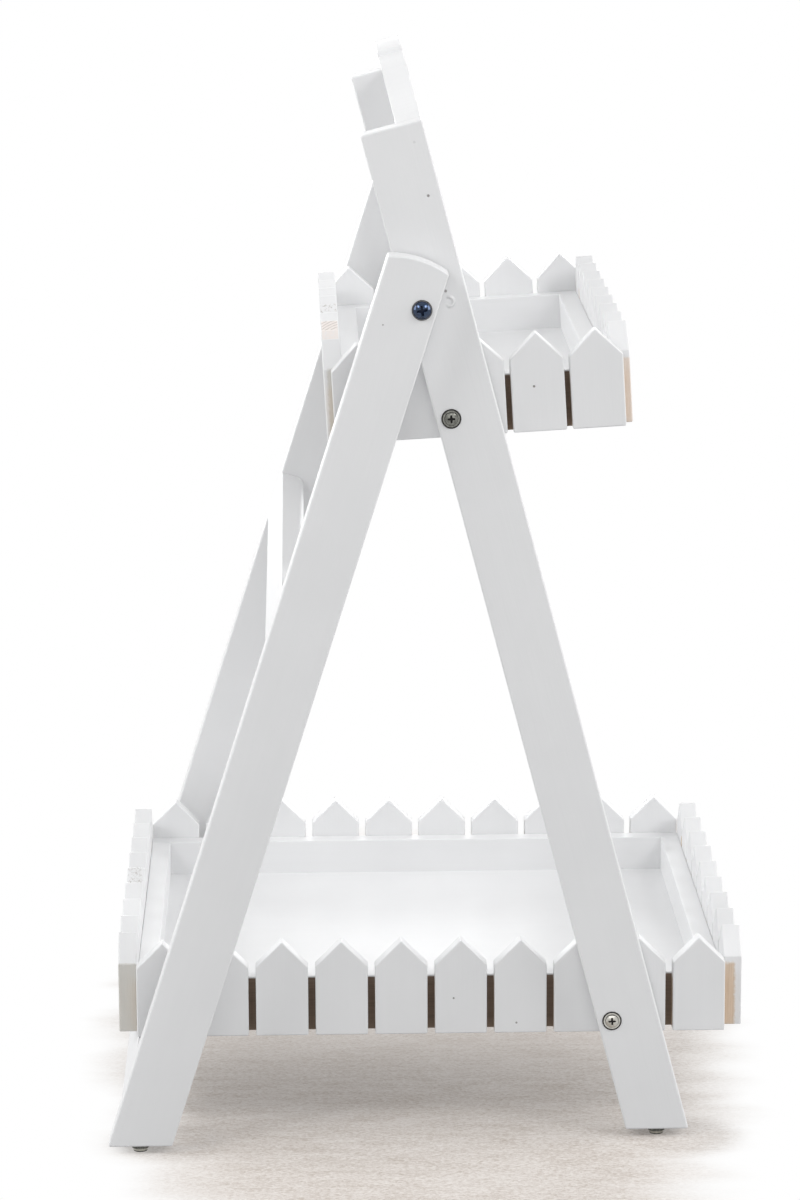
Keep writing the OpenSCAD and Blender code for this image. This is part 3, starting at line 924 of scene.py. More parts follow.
@dataclass(frozen=True)
class FrontFrame:
    """The two front legs and the crest board between them."""

    sizes: Frame
    crest_t: float = 16.0 * MM
    crest_below: float = 55.0 * MM
    crest_rise: float = 33.0 * MM
    arch_half: float = 38.0 * MM
    arch_drop: float = 1.5 * MM
    arch_step: float = 3.4 * MM
    ledge: float = 6.0 * MM
    level: float = 12.5 * MM
    ogee_share: float = 0.215
    arc_points: int = 14
    crest_round: float = 0.85 * MM
    step_round: float = 2.4 * MM
    crest_rim: float = 0.8 * MM
    nails_down: tuple[float, float] = (12.0 * MM, 45.0 * MM)
    nails_dark: tuple[float, float] = (0.15, 0.75)

    def legs(self) -> list[Board]:
        """The legs: a bar with a square top and a foot cut level.

        Returns:
            The left and the right leg.
        """
        s = self.sizes
        front, back = s.hole_edge - s.leg_w, s.hole_edge
        corners = (
            (front, s.foot(s.front_lean, front)),
            (back, s.foot(s.front_lean, back)),
            (back, s.leg_above),
            (front, s.leg_above),
        )
        return s.leg_pair(corners, s.edge_round, s.front_lean, (-s.leg_out, s.leg_in), (0.13, 0.71))

    def nail_marks(self) -> tuple[Mark, ...]:
        """Marks over the crest's nails on the legs' outer faces, of which the upper are filled.

        Returns:
            The four marks.
        """
        s = self.sizes
        across, up = s.axes(s.front_lean)
        origin = np.array([0.0, *s.pivot]) + across * (s.hole_edge - s.leg_w + self.crest_t / 2.0)
        return tuple(
            Mark(tuple(origin + up * (s.leg_above - down) + (side * s.leg_out, 0.0, 0.0)), dark)
            for side in (-1.0, 1.0)
            for down, dark in zip(self.nails_down, self.nails_dark)
        )

    def crest_line(self) -> Array:
        """Works out the crest's top edge from the middle to the right leg.

        The middle is an arc through its rise, then come a step and a level ledge, and then an
        ogee of two arcs that turn by the same angle and end level beside the leg.

        Returns:
            The points, from the middle outwards.
        """
        s = self.sizes
        ledge_z = self.crest_rise - self.arch_drop - self.arch_step
        arch_r = (self.arch_half**2 + self.arch_drop**2) / (2.0 * self.arch_drop)
        run = s.leg_in - self.level - self.arch_half - self.ledge
        turn = 2.0 * atan(ledge_z / run)
        both_r = run / sin(turn)
        bulge_r = both_r * self.ogee_share
        hollow_r = both_r - bulge_r
        t = np.linspace(0.0, 1.0, self.arc_points)
        a = asin(self.arch_half / arch_r) * t
        arch = np.column_stack([arch_r * np.sin(a), self.crest_rise - arch_r * (1.0 - np.cos(a))])
        a = turn * t
        x = self.arch_half + self.ledge + bulge_r * np.sin(a)
        bulge = np.column_stack([x, ledge_z - bulge_r * (1.0 - np.cos(a))])
        a = turn * (1.0 - t[1:])
        x = s.leg_in - self.level - hollow_r * np.sin(a)
        hollow = np.column_stack([x, hollow_r * (1.0 - np.cos(a))])
        return np.concatenate([arch, [[self.arch_half, ledge_z]], bulge, hollow])

    def crest(self) -> Board:
        """The crest board, flush with the front legs' front edges.

        Returns:
            The board.
        """
        s = self.sizes
        across, up = s.axes(s.front_lean)
        half = np.concatenate([self.crest_line(), [[s.leg_in, 0.0], [s.leg_in, -self.crest_below]]])
        outline = np.concatenate([half * (-1.0, 1.0), half[:0:-1]])
        radii = np.full(len(outline), self.crest_round)
        radii[[self.arc_points - 1, 2 * len(half) - self.arc_points]] = self.step_round
        back = s.hole_edge - s.leg_w + self.crest_t
        origin = np.array([0.0, *s.pivot]) + across * back + up * s.leg_above
        return Board(
            tuple(map(tuple, outline)),
            self.crest_t,
            placing(origin, X_AXIS, up),
            Grain.ALONG_U,
            corner_radius=tuple(radii),
            rim_radius=self.crest_rim,
            seed=0.37,
        )

    def build(self, paint: bpy.types.Material) -> None:
        """Makes the legs and the crest board."""
        for word, leg in zip(("left", "right"), self.legs()):
            name = f"front_leg_{word}"
            make_object(f"{name}_board", [leg], paint, "front_frame", [name])
        make_object("crest_panel", [self.crest()], paint, "front_frame", ["crest_board"])


@dataclass(frozen=True)
class RearFrame:
    """The two rear legs and the two rails between them."""

    sizes: Frame
    arc_points: int = 13
    arc_round: float = 0.3 * MM
    rail_rim: float = 0.4 * MM

    def legs(self) -> list[Board]:
        """The legs: a bar whose top is a shallow arc through its rise.

        Returns:
            The left and the right leg.
        """
        s = self.sizes
        front, back = -s.rear_hole_edge, s.leg_w - s.rear_hole_edge
        r = (s.leg_w**2 / 4.0 + s.rear_round**2) / (2.0 * s.rear_round)
        a = asin(s.leg_w / 2.0 / r) * np.linspace(1.0, -1.0, self.arc_points)
        z = s.rear_above + s.rear_round - r * (1.0 - np.cos(a))
        top = np.column_stack([(front + back) / 2.0 + r * np.sin(a), z])
        lean, sharp = s.rear_lean, s.edge_round
        corners = ((front, s.foot(lean, front)), (back, s.foot(lean, back)), *map(tuple, top))
        radii = (sharp, sharp, sharp, *([self.arc_round] * (self.arc_points - 2)), sharp)
        return s.leg_pair(corners, radii, lean, (-s.rear_out, s.rear_in), (0.52, 0.93))

    def rail(self, down: float, seed: float) -> Board:
        """One rail, whose front edges are rounder than its back ones.

        Args:
            down: Distance of its top from the pivot, down the leg.
            seed: Picks the grain.

        Returns:
            The board.
        """
        s = self.sizes
        across, up = s.axes(s.rear_lean)
        back = s.leg_w - s.rear_hole_edge
        front = back - s.rail_t
        corners = (
            (front, -down - s.rail_w),
            (back, -down - s.rail_w),
            (back, -down),
            (front, -down),
        )
        return Board(
            corners,
            2.0 * s.rear_in,
            placing((-s.rear_in, *s.pivot), across, up),
            Grain.ALONG_W,
            corner_radius=(s.rail_round, s.edge_round, s.edge_round, s.rail_round),
            rim_radius=self.rail_rim,
            seed=seed,
            arc_steps=7,
        )

    def build(self, paint: bpy.types.Material) -> None:
        """Makes the legs and the rails."""
        left, right = self.legs()
        boards = {
            "rear_leg_left": left,
            "rear_leg_right": right,
            "rear_rail_upper": self.rail(self.sizes.upper_rail_down, 0.27),
            "rear_rail_lower": self.rail(self.sizes.lower_rail_down, 0.84),
        }
        for name, board in boards.items():
            make_object(f"{name}_board", [board], paint, "rear_frame", [name])


@dataclass(frozen=True)
class TrayFinishes:
    """The materials of a tray."""

    panel: bpy.types.Material
    box: bpy.types.Material
    picket: bpy.types.Material


@dataclass(frozen=True)
class Tray:
    """A box with a floor panel and a row of pickets on each side.

    Local axes start on the tray's screws: Y runs to the back and Z up, before the tray tilts.

    Attributes:
        name: First word of the names of its nodes.
        screw: Place of its screws, from front to back and in height.
        screw_up: Height of the screws over the pickets' feet.
        count: Pickets on each side.
        ahead: How many of them stand in front of the screws.
        gap: Gap between the side pickets.
        overhang: How far the side rows reach past the box.
        tilt: Angle by which the front is raised.
        seed: Starts the random differences.
        front_wear: How far the paint of the front row reaches.
        back_wear: The same for the back row.
        odd_wear: What is different at single pickets of the back row, counted from 0 at the left.
        wobble: About how much the pickets differ in height.
        wobble_wide: Share of it by which half their width differs.
        wobble_skew: Share of it by which one shoulder lies above the middle and one below.
        side_bare: Least and most bare share of the side pickets' sawn edges.
        end_bare_top: Height of bare wood on the corner pickets of the front and the back row.
        paint_down: How far paint reaches down the outer faces of the side and the end rails.
    """

    name: str
    screw: tuple[float, float]
    screw_up: float
    count: int
    ahead: int
    gap: float
    overhang: float
    tilt: float
    seed: int
    front_wear: Wear
    back_wear: Wear
    odd_wear: dict[int, dict[str, float]]
    width_count: int = 9
    width_gap: float = 4.35 * MM
    picket_w: float = 32.8 * MM
    picket_h: float = 61.0 * MM
    picket_t: float = 11.5 * MM
    box_t: float = 12.5 * MM
    box_h: float = 35.0 * MM
    floor_t: float = 6.0 * MM
    floor_up: float = 12.0 * MM
    groove: float = 4.5 * MM
    picket_round: float = 1.0 * MM
    picket_rim: float = 0.9 * MM
    rail_round: float = 0.8 * MM
    rail_rim: float = 0.7 * MM
    panel_round: float = 0.4 * MM
    panel_rim: float = 0.3 * MM
    wobble: float = 0.22 * MM
    wobble_wide: float = 0.3
    wobble_skew: float = 0.6
    side_bare: tuple[float, float] = (0.6, 0.85)
    end_bare_top: tuple[float, float] = (41.0 * MM, 45.0 * MM)
    paint_down: tuple[float, float] = (0.6 * MM, 2.0 * MM)

    @property
    def half_width(self) -> float:
        """Half the tray's width over its box."""
        return (self.width_count * self.picket_w + (self.width_count - 1) * self.width_gap) / 2.0

    @property
    def row_back(self) -> float:
        """Distance from the screws to the back end of the side pickets."""
        n = self.count - self.ahead
        return self.gap / 2.0 + n * self.picket_w + (n - 1) * self.gap

    @property
    def row_front(self) -> float:
        """Distance from the screws to the front end of the side pickets."""
        return self.gap / 2.0 + self.ahead * self.picket_w + (self.ahead - 1) * self.gap

    def at(
        self, place: Sequence[float], u: Sequence[float], v: Sequence[float] = Z_AXIS
    ) -> Array:
        """Places a board in the tilted tray.

        Args:
            place: Its origin: across the stand, behind the screws and above the pickets' feet.
            u: Direction of the outline's first axis.
            v: Direction of the outline's second axis.

        Returns:
            The board's placing.
        """
        c, s = cos(self.tilt), sin(self.tilt)
        tip = np.eye(4)
        tip[1:3, 1:3] = ((c, s), (-s, c))
        tip[1:3, 3] = self.screw
        x, y, z = place
        return tip @ placing((x, y, z - self.screw_up), u, v)

    def picket(self, place: Array, rng: np.random.Generator, wear: Wear) -> Board:
        """One picket with a square point, a hair off its neighbours in height and width.

        Args:
            place: Its placing, with the origin under its middle.
            rng: Draws the small differences.
            wear: How far its paint reaches.

        Returns:
            The board.
        """
        half = self.picket_w / 2.0 - abs(rng.normal(0.0, self.wobble * self.wobble_wide))
        top = self.picket_h - abs(rng.normal(0.0, self.wobble))
        skew = rng.normal(0.0, self.wobble * self.wobble_skew)
        corners = (
            (-half, 0.0),
            (half, 0.0),
            (half, top - half - skew),
            (skew * 0.5, top),
            (-half, top - half + skew),
        )
        return Board(
            corners,
            self.picket_t,
            place,
            Grain.ALONG_V,
            corner_radius=self.picket_round,
            rim_radius=self.picket_rim,
            seed=float(rng.uniform()),
            wear=wear,
        )

    def side_row(self, side: int, rng: np.random.Generator) -> list[Board]:
        """The pickets along one side.

        Args:
            side: 1 for the right and -1 for the left.
            rng: Draws the small differences.

        Returns:
            The boards, from the back.
        """
        ys = self.row_back - self.picket_w / 2.0 - np.arange(self.count) * (self.picket_w + self.gap)
        row = []
        for y in ys:
            wear = Wear(bare=float(rng.uniform(*self.side_bare)))
            place = self.at((side * self.half_width, y, 0.0), (0, side, 0))
            row.append(self.picket(place, rng, wear))
        return row

    def end_row(self, end: int, rng: np.random.Generator) -> list[Board]:
        """The pickets along the front or the back.

        Args:
            end: 1 for the back and -1 for the front.
            rng: Draws the small differences.

        Returns:
            The boards, from the left.
        """
        reach = (self.row_back if end > 0 else self.row_front) - self.overhang
        pitch = self.picket_w + self.width_gap
        xs = (np.arange(self.width_count) - (self.width_count - 1) / 2.0) * pitch
        row = []
        for k, x in enumerate(xs):
            wear = self.back_wear if end > 0 else self.front_wear
            if k in (0, self.width_count - 1):
                wear = replace(wear, bare_top=self.end_bare_top[end > 0])
            if end > 0:
                wear = replace(wear, **self.odd_wear.get(k, {}))
            row.append(self.picket(self.at((x, end * reach, 0.0), (-end, 0, 0)), rng, wear))
        return row

    def rail(self, length: float, place: Array, seed: float, bare_top: float) -> Board:
        """One rail of the box: a bar centred on its length.

        Args:
            length: Its length.
            place: Its placing, with the origin under its middle.
            seed: Picks the grain.
            bare_top: Height up to which its outer face is bare.

        Returns:
            The board.
        """
        half = length / 2.0
        return Board(
            ((-half, 0.0), (half, 0.0), (half, self.box_h), (-half, self.box_h)),
            self.box_t,
            place,
            Grain.ALONG_U,
            corner_radius=self.rail_round,
            rim_radius=self.rail_rim,
            seed=seed,
            wear=Wear(bare_top=bare_top),
        )

    def build(self, body: str, finishes: TrayFinishes) -> None:
        """Makes the floor panel, the four rails and the four rows of pickets.

        Args:
            body: The tray's body.
            finishes: Its materials.
        """
        rng = np.random.default_rng(self.seed)
        n = self.name
        front, back = self.row_front - self.overhang, self.row_back - self.overhang
        middle, length = (back - front) / 2.0, back + front
        inner = self.half_width - self.box_t
        x, y = inner + self.groove, length / 2.0 - self.box_t + self.groove
        panel = Board(
            ((-x, -y), (x, -y), (x, y), (-x, y)),
            self.floor_t,
            self.at((0.0, middle, self.floor_up - self.floor_t), X_AXIS, Y_AXIS),
            Grain.ALONG_V,
            corner_radius=self.panel_round,
            rim_radius=self.panel_rim,
            seed=float(rng.uniform()),
        )
        make_object(f"{n}_floor_panel", [panel], finishes.panel, body, [f"{n}_floor"])
        side_bare_top, end_bare_top = (self.box_h - down for down in self.paint_down)
        for word, side, end in (("left", -1, 0), ("right", 1, 0), ("front", 0, -1), ("back", 0, 1)):
            if side:
                place = self.at((side * inner, middle, 0.0), (0, side, 0))
                rail = self.rail(length, place, float(rng.uniform()), side_bare_top)
                row = self.side_row(side, rng)
            else:
                reach = (front if end < 0 else back) - self.box_t
                place = self.at((0.0, end * reach, 0.0), (-end, 0, 0))
                rail = self.rail(2.0 * inner, place, float(rng.uniform()), end_bare_top)
                row = self.end_row(end, rng)
            make_object(f"{n}_box_{word}_rail", [rail], finishes.box, body, [f"{n}_box_{word}"])
            make_object(f"{n}_picket_row_{word}", row, finishes.picket, body, [f"{n}_pickets_{word}"])


@dataclass(frozen=True)
class Fastener:
    """Sizes of a bolt or screw with a domed head, and of the washer under it.

    Attributes:
        shank: Radius of the shank.
        head: The head's radius, its height and the height of its rim.
        cross: The cross in the head.
        edge_from: Share of the head's radius from which painted shade darkens the edge.
        dome: The k of the formula for the head's cap.
        washer: The washer's radius and thickness.
        tarnish: Width of the painted shade round the washer's edge.
    """

    shank: float
    head: tuple[float, float, float]
    cross: CrossRecess
    edge_from: float
    dome: float
    washer: tuple[float, float]
    tarnish: float
    cap_steps: int = 46
    head_soft: float = 0.12 * MM
    washer_soft: float = 0.15 * MM
    bore_play: float = 0.02 * MM

    def headed(self, base: float, tip: float) -> Array:
        """Profile from the top of the head to the tip of the shank.

        The head has a cap over its straight rim: at radius x of a head of radius r, whose
        cap rises by h, it lies h * (1 - (x / r) ** 2) ** k above the rim. It is half an ellipse
        with k = 0.5 and a parabola with k = 1.

        Args:
            base: Place of the head's foot along the axis.
            tip: Place of the shank's end along the axis.

        Returns:
            Rows of radius, height and painted shade.
        """
        r, h, rim = self.head
        shank, soft = self.shank, self.head_soft
        t = np.linspace(0.0, 1.0, self.cap_steps)
        x = r * np.sin(0.5 * np.pi * t[:-1] ** 0.8)
        top = base + rim + (h - rim) * (1.0 - (x / r) ** 2) ** self.dome
        # Painted shade darkens the cap towards its edge: a dark outline for the contact shadow and the
        # dark reflection round the head.
        edge = np.clip((x / r - self.edge_from) / (1.0 - self.edge_from), 0.0, 1.0)
        # The rim and the underside are in painted shade.
        under = [
            (r, base + rim, 1.0),
            (r, base + soft, 1.0),
            (r - soft, base, 1.0),
            (shank, base, 1.0),
            (shank, tip + shank * 0.4, 0.0),
            (shank * 0.6, tip, 0.0),
            (0.0, tip, 0.0),
        ]
        return np.concatenate([np.column_stack([x, top, edge]), under])

    def ring(self, base: float) -> Array:
        """Profile of the washer as a loop, with soft edges, with painted shade round the head and a ring
        of painted shade at its outer edge.

        Args:
            base: Place of its underside along the axis.

        Returns:
            Rows of radius, height and painted shade.
        """
        r, thick = self.washer
        head, rim, soft = self.head[0], self.tarnish, self.washer_soft
        bore = self.shank + self.bore_play
        top = base + thick
        return np.array(
            [
                # Painted shade under and beside the head, fading out across the washer.
                (bore, top, 1.0),
                (head - 0.1 * MM, top, 1.0),
                (head + 0.25 * MM, top, 0.3),
                (head + 0.4 * MM, top, 0.0),
                (r - rim - 0.25 * MM, top, 0.0),
                # A ring of painted shade round the outer edge, for its contact shadow and dark
                # reflection, and under the washer.
                (r - rim, top, 1.0),
                (r - soft, top, 1.0),
                (r - soft * 0.3, top - soft * 0.3, 1.0),
                (r, top - soft, 1.0),
                (r, base + soft, 1.0),
                (r - soft, base, 1.0),
                (bore, base, 0.0),
            ]
        )


@dataclass(frozen=True)
class Hardware:
    """Bolts, screws, washers and glides, and the finishes of the fasteners inside the wood.

    Attributes:
        sizes: The stand's sizes.
        nodes: The CAD nodes by name.
        tray_out: Outer face of the trays' boxes.
        play: Gap between the wood, a washer and a head.
        bolt_tip: How far the bolts reach into the front legs.
        screw_tip: How far the screws reach into the boxes.
        glide_wall: Height of a glide's hollow wall, at its top and at its foot.
    """

    sizes: Frame
    nodes: dict[str, bpy.types.Object]
    tray_out: float = 165.0 * MM
    play: float = 0.05 * MM
    bolt: Fastener = Fastener(
        shank=3.0 * MM,
        head=(5.4 * MM, 3.2 * MM, 0.3 * MM),
        cross=CrossRecess(3.2 * MM, 1.0 * MM, 1.7 * MM, wall=0.35 * MM, turn=radians(9.0)),
        edge_from=0.86,
        dome=1.0,
        washer=(6.1 * MM, 0.8 * MM),
        tarnish=0.2 * MM,
    )
    bolt_tip: float = 12.0 * MM
    screw: Fastener = Fastener(
        shank=2.5 * MM,
        head=(4.0 * MM, 1.5 * MM, 0.5 * MM),
        cross=CrossRecess(2.4 * MM, 0.8 * MM, 0.95 * MM, wall=0.25 * MM, turn=radians(3.0)),
        edge_from=0.94,
        dome=0.5,
        washer=(6.0 * MM, 0.5 * MM),
        tarnish=0.7 * MM,
    )
    screw_tip: float = 6.5 * MM
    fastener_around: int = 120
    glide_r: float = 5.3 * MM
    glide_foot_r: float = 4.3 * MM
    glide_nail_r: float = 1.3 * MM
    glide_nail: float = 15.0 * MM
    glide_wall: tuple[float, float] = (2.3 * MM, 0.55 * MM)
    glide_around: int = 48

    def glide(self, x: float, y: float) -> Turned:
        """One glide: a nail under a button whose wall draws in towards the floor. Painted shade darkens
        its top under the leg, its wall towards the floor and its foot.

        Args:
            x: Place across the stand.
            y: Place from front to back.

        Returns:
            The turned piece.
        """
        r, foot, nail = self.glide_r, self.glide_foot_r, self.glide_nail_r
        t = np.linspace(0.0, 1.0, 9)
        wall_r = foot + (r - foot) * (1.0 - np.sin(0.5 * np.pi * t))
        wall_z = self.glide_wall[0] * (1.0 - t) + self.glide_wall[1] * t
        # Painted shade on the wall: a band just under the top, and darker towards the floor.
        wall = np.column_stack([wall_r, wall_z, 0.05 + 0.6 * t**4 + 0.5 * (t == 0.0)])
        top = self.sizes.glide
        # The top face under the leg is in painted shade, and the nail in part.
        upper = [
            (0.0, top + self.glide_nail, 0.0),
            (nail, top + self.glide_nail - nail, 0.0),
            (nail, top, 0.5),
            (r - 0.3 * MM, top, 0.8),
            (r - 0.05 * MM, top - 0.2 * MM, 0.8),
            (r, top - 0.5 * MM, 0.6),
        ]
        # The foot is in painted shade where it stands on the floor.
        lower = [
            (foot - 0.1 * MM, 0.15 * MM, 1.0),
            (foot - 0.4 * MM, 0.0, 1.0),
            (0.0, 0.0, 0.6),
        ]
        profile = np.concatenate([upper, wall, lower])
        return Turned(profile, placing((x, y, 0.0), X_AXIS, Y_AXIS), self.glide_around)

    def fasten(
        self,
        kind: Fastener,
        washers: tuple[str, str],
        heads: tuple[str, str],
        body: str,
        axis: tuple[float, float],
        seat: float,
        tip: float,
        finishes: tuple[bpy.types.Material, bpy.types.Material],
    ) -> None:
        """Makes washers and the bolts or screws on them, on both sides of the stand.

        Args:
            kind: Their sizes.
            washers: The washers' object and CAD node.
            heads: The bolts' or screws' object and CAD node.
            body: The body that they ride on.
            axis: Where their axis lies, from front to back and in height.
            seat: The wood's face under the washers, from the middle of the stand.
            tip: The shanks' end, from the middle of the stand.
            finishes: Materials of the washers and of the bolts or screws.
        """
        base = seat + self.play
        head_base = base + (kind.washer[1] + self.play)
        for names, profile, finish, recess in (
            (washers, kind.ring(base), finishes[0], None),
            (heads, kind.headed(head_base, tip), finishes[1], kind.cross),
        ):
            places = [placing((0.0, *axis), (0.0, side, 0.0), Z_AXIS) for side in (-1.0, 1.0)]
            pieces = [Turned(profile, place, self.fastener_around, recess) for place in places]
            make_object(names[0], pieces, finish, body, [names[1]])

    def dress(self, ending: str, finish: bpy.types.Material) -> None:
        """Gives every CAD node whose name ends so a finish."""
        for name, node in self.nodes.items():
            if name.endswith(ending):
                node.data.materials.clear()
                node.data.materials.append(finish)
                LOG.info("%s: dressed", name)

    def build(self) -> None:
        """Makes the pieces that show and dresses the rest."""
        s = self.sizes
        zinc = Metal("zinc_plate", (0.56, 0.57, 0.59), (0.40, 0.41, 0.43), 0.34).build()
        brass = Metal("turned_brass", (0.70, 0.54, 0.27), (0.52, 0.38, 0.18), 0.3).build()
        blue = Metal(
            "blued_steel",
            (0.004, 0.014, 0.044),
            (0.011, 0.034, 0.082),
            rough=0.06,
            coat=0.85,
            dirt=(0.002, 0.008, 0.030),
        ).build()
        dull = Metal("dull_steel", (0.22, 0.22, 0.20), (0.10, 0.10, 0.09), 0.28).build()
        nickel = Metal("nickel_plate", (0.56, 0.55, 0.51), (0.40, 0.39, 0.36), 0.2).build()
        button = Metal("glide_steel", (0.70, 0.70, 0.64), (0.50, 0.50, 0.45), 0.34).build()
        nylon = Plastic("nylon_washer", (0.78, 0.78, 0.75), (0.68, 0.68, 0.64), 0.5).build()
        dowel = RawWood("dowel_wood").build()
        for ending, finish in (
            ("nails", zinc),
            ("brads", zinc),
            ("corner_screws", zinc),
            ("inserts", brass),
            ("spacers", nylon),
            ("dowels", dowel),
        ):
            self.dress(ending, finish)
        self.fasten(
            self.bolt,
            ("pivot_washer_rings", "pivot_washers"),
            ("pivot_bolt_domes", "pivot_bolts"),
            "front_frame",
            s.pivot,
            s.rear_out,
            s.leg_out - self.bolt_tip,
            (zinc, blue),
        )
        for tray, axis, finish in (("upper", s.upper_screw, dull), ("lower", s.lower_screw, nickel)):
            self.fasten(
                self.screw,
                (f"{tray}_screw_washer_rings", f"{tray}_screw_washers"),
                (f"{tray}_screw_heads", f"{tray}_screws"),
                f"{tray}_tray",
                axis,
                s.leg_out,
                self.tray_out - self.screw_tip,
                (finish, finish),
            )
        for end, inner, lean, middle in (
            ("front", s.leg_in, s.front_lean, s.hole_edge - s.leg_w / 2.0),
            ("rear", s.rear_in, s.rear_lean, s.leg_w / 2.0 - s.rear_hole_edge),
        ):
            x, y = inner + s.leg_t / 2.0, s.foot_middle(lean, middle)
            for word, side in (("left", -1.0), ("right", 1.0)):
                node = f"{end}_glide_{word}"
                glide = self.glide(side * x, y)
                make_object(f"{node}_button", [glide], button, f"{end}_frame", [node])


# Studio


@dataclass(frozen=True)
class Softbox:
    """A rectangular lamp that points at the stand."""

    name: str
    place: tuple[float, float, float]
    size: tuple[float, float]
    watts: float
    target: tuple[float, float, float] = (0.0, 0.0, 0.30)

    def build(self) -> None:
        """Makes the lamp."""
        lamp = bpy.data.lights.new(self.name, "AREA")
        lamp.shape = "RECTANGLE"
        lamp.size, lamp.size_y = self.size
        lamp.energy = self.watts
        made = in_scene(self.name, lamp)
        aim = Vector(self.target) - Vector(self.place)
        turn = aim.to_track_quat("-Z", "Y").to_matrix().to_4x4()
        made.matrix_world = Matrix.Translation(self.place) @ turn


@dataclass(frozen=True)
class Studio:
    """A white floor with painted shade and light round the stand, a white background, soft lamps, and
    the camera.

    Attributes:
        focal_px: Focal length in pixels of the photo.
        frame_px: Width and height of the photo in pixels.
        camera_at: Place of the camera.
        pitch: How far the camera looks down.
        yaw: How far it turns to its left, from a look along the X axis.
        roll: How far it is turned about its own view.
        world_light: Strength of the background as a light.
        floor_half: Half the floor's side.
        floor_glow: Share of its own light in the floor's look under the stand, where painted shade lies.
        bounce: The floor's colour for the rays that don't count as seen.
        stone: The floor's grit under the stand, pale and dark, darkened and warmed as painted shade.
        haze: The floor's glow under the stand, pale and dark: warm and darker than white, as painted
            shade.
        foot_at: Middle of the shade painted under a foot at rest, from the stand's middle.
        foot_shade: How dark that shade is.
    """

    focal_px: float = 4271.0
    frame_px: tuple[int, int] = (800, 1200)
    camera_at: tuple[float, float, float] = (-2.7333, 0.0777, 0.8978)
    pitch: float = radians(12.269)
    yaw: float = radians(-1.401)
    roll: float = radians(-0.280)
    world_light: float = 0.29
    floor_half: float = 9.0
    floor_glow: float = 0.25
    bounce: Colour = (0.5, 0.5, 0.5)
    stone: tuple[Colour, Colour] = ((0.74, 0.705, 0.675), (0.39, 0.325, 0.275))
    haze: tuple[Colour, Colour] = ((1.0, 0.95, 0.91), (0.82, 0.75, 0.69))
    foot_at: tuple[float, float, float] = (0.193, 0.16, 0.0)
    foot_shade: float = 0.55

    def camera(self) -> None:
        """Sets up the camera that sees the stand's left side from above its middle."""
        data = bpy.data.cameras.new("studio_camera")
        data.sensor_fit = "VERTICAL"
        data.sensor_height = 36.0
        data.lens = data.sensor_height * self.focal_px / self.frame_px[1]
        data.clip_end = 60.0
        made = in_scene("studio_camera", data)
        level = cos(self.pitch)
        ahead = Vector((level * cos(self.yaw), level * sin(self.yaw), -sin(self.pitch)))
        right = ahead.cross(Vector(Z_AXIS)).normalized()
        up = right.cross(ahead)
        c, s = cos(self.roll), sin(self.roll)
        across, above = right * c + up * s, up * c - right * s
        turn = Matrix((across, above, -ahead)).transposed().to_4x4()
        made.matrix_world = Matrix.Translation(self.camera_at) @ turn
        bpy.context.scene.camera = made

    def seen(self, sh: Shader) -> Socket:
        """One where a ray comes from the camera or through a gloss or a glass."""
        path = "ShaderNodeLightPath"
        camera = sh.node(path, None, None, "Is Camera Ray")
        glossy = sh.node(path, None, None, "Is Glossy Ray")
        through = sh.node(path, None, None, "Is Transmission Ray")
        return camera.largest(glossy).largest(through)

    def floor(self) -> None:
        """Makes the pale floor, which keeps the stand's soft shadow. Under the stand its glow is lower
        and its colour darker and warmer, as painted shade, with painted light under the back of the tray
        and painted shade under the feet.
        """
        half = self.floor_half
        corners = [(x * half, y * half, 0.0) for x, y in ((-1, -1), (1, -1), (1, 1), (-1, 1))]
        mesh = bpy.data.meshes.new("studio_floor")
        mesh.from_pydata(corners, [], [(0, 1, 2, 3)])
        sh = Shader("studio_floor_white")
        here = sh.here()
        grit = sh.noise(sh.stretch(here, (1.0, 0.55, 1.0)), 560.0, 3.0, 0.8, 0.6)
        streak = sh.noise(sh.stretch(here, (1.0, 0.25, 1.0)), 120.0, 4.0, 0.65, 0.5)
        patch = sh.noise(sh.stretch(here, (1.0, 0.4, 1.0)), 20.0, 2.0, 0.5)
        dark = (grit * 0.75 + streak * 0.3 + patch * 0.15).above(0.42, 0.84)
        # The grit's colour: its speckle, darkened and warmed as painted shade under the stand.
        stone = sh.blend(dark, *self.stone)
        stone = sh.blend(self.seen(sh), self.bounce, stone)
        diffuse = sh.node("ShaderNodeBsdfDiffuse", None, {"Color": stone})
        # The floor glows white away from the stand and less under it.
        away = sh.distance(sh.stretch(here, (0.4, 1.0, 1.0)), (0.0, 0.0, 0.0))
        outer = (away + (patch - 0.5) * 0.07).above(0.14, 0.225)
        # Painted light: more glow on the floor under the back of the tray.
        painted_light_behind = sh.axis(here, 0).above(-0.12, 0.08) * 0.45
        aside, behind = abs(sh.axis(here, 0)), abs(sh.axis(here, 1))
        quarter = sh.node("ShaderNodeCombineXYZ", None, {0: aside, 1: behind})
        foot = sh.distance(quarter, self.foot_at).above(0.046, 0.02)
        share = outer.largest(painted_light_behind) * (1.0 - self.floor_glow) + self.floor_glow
        share = share * (1.0 - foot * self.foot_shade)
        # The glow's colour: warm and darker under the stand as painted shade, white further out.
        haze = sh.blend(dark, *self.haze)
        haze = sh.blend(outer, haze, (1.0, 1.0, 1.0))
        glow = sh.node("ShaderNodeEmission", None, {"Color": haze, "Strength": 1.0})
        mixed = sh.node("ShaderNodeMixShader", None, {0: self.seen(sh) * share, 1: diffuse, 2: glow})
        sh.node("ShaderNodeOutputMaterial", None, {"Surface": mixed})
        mesh.materials.append(sh.owner)
        made = in_scene("studio_floor", mesh)

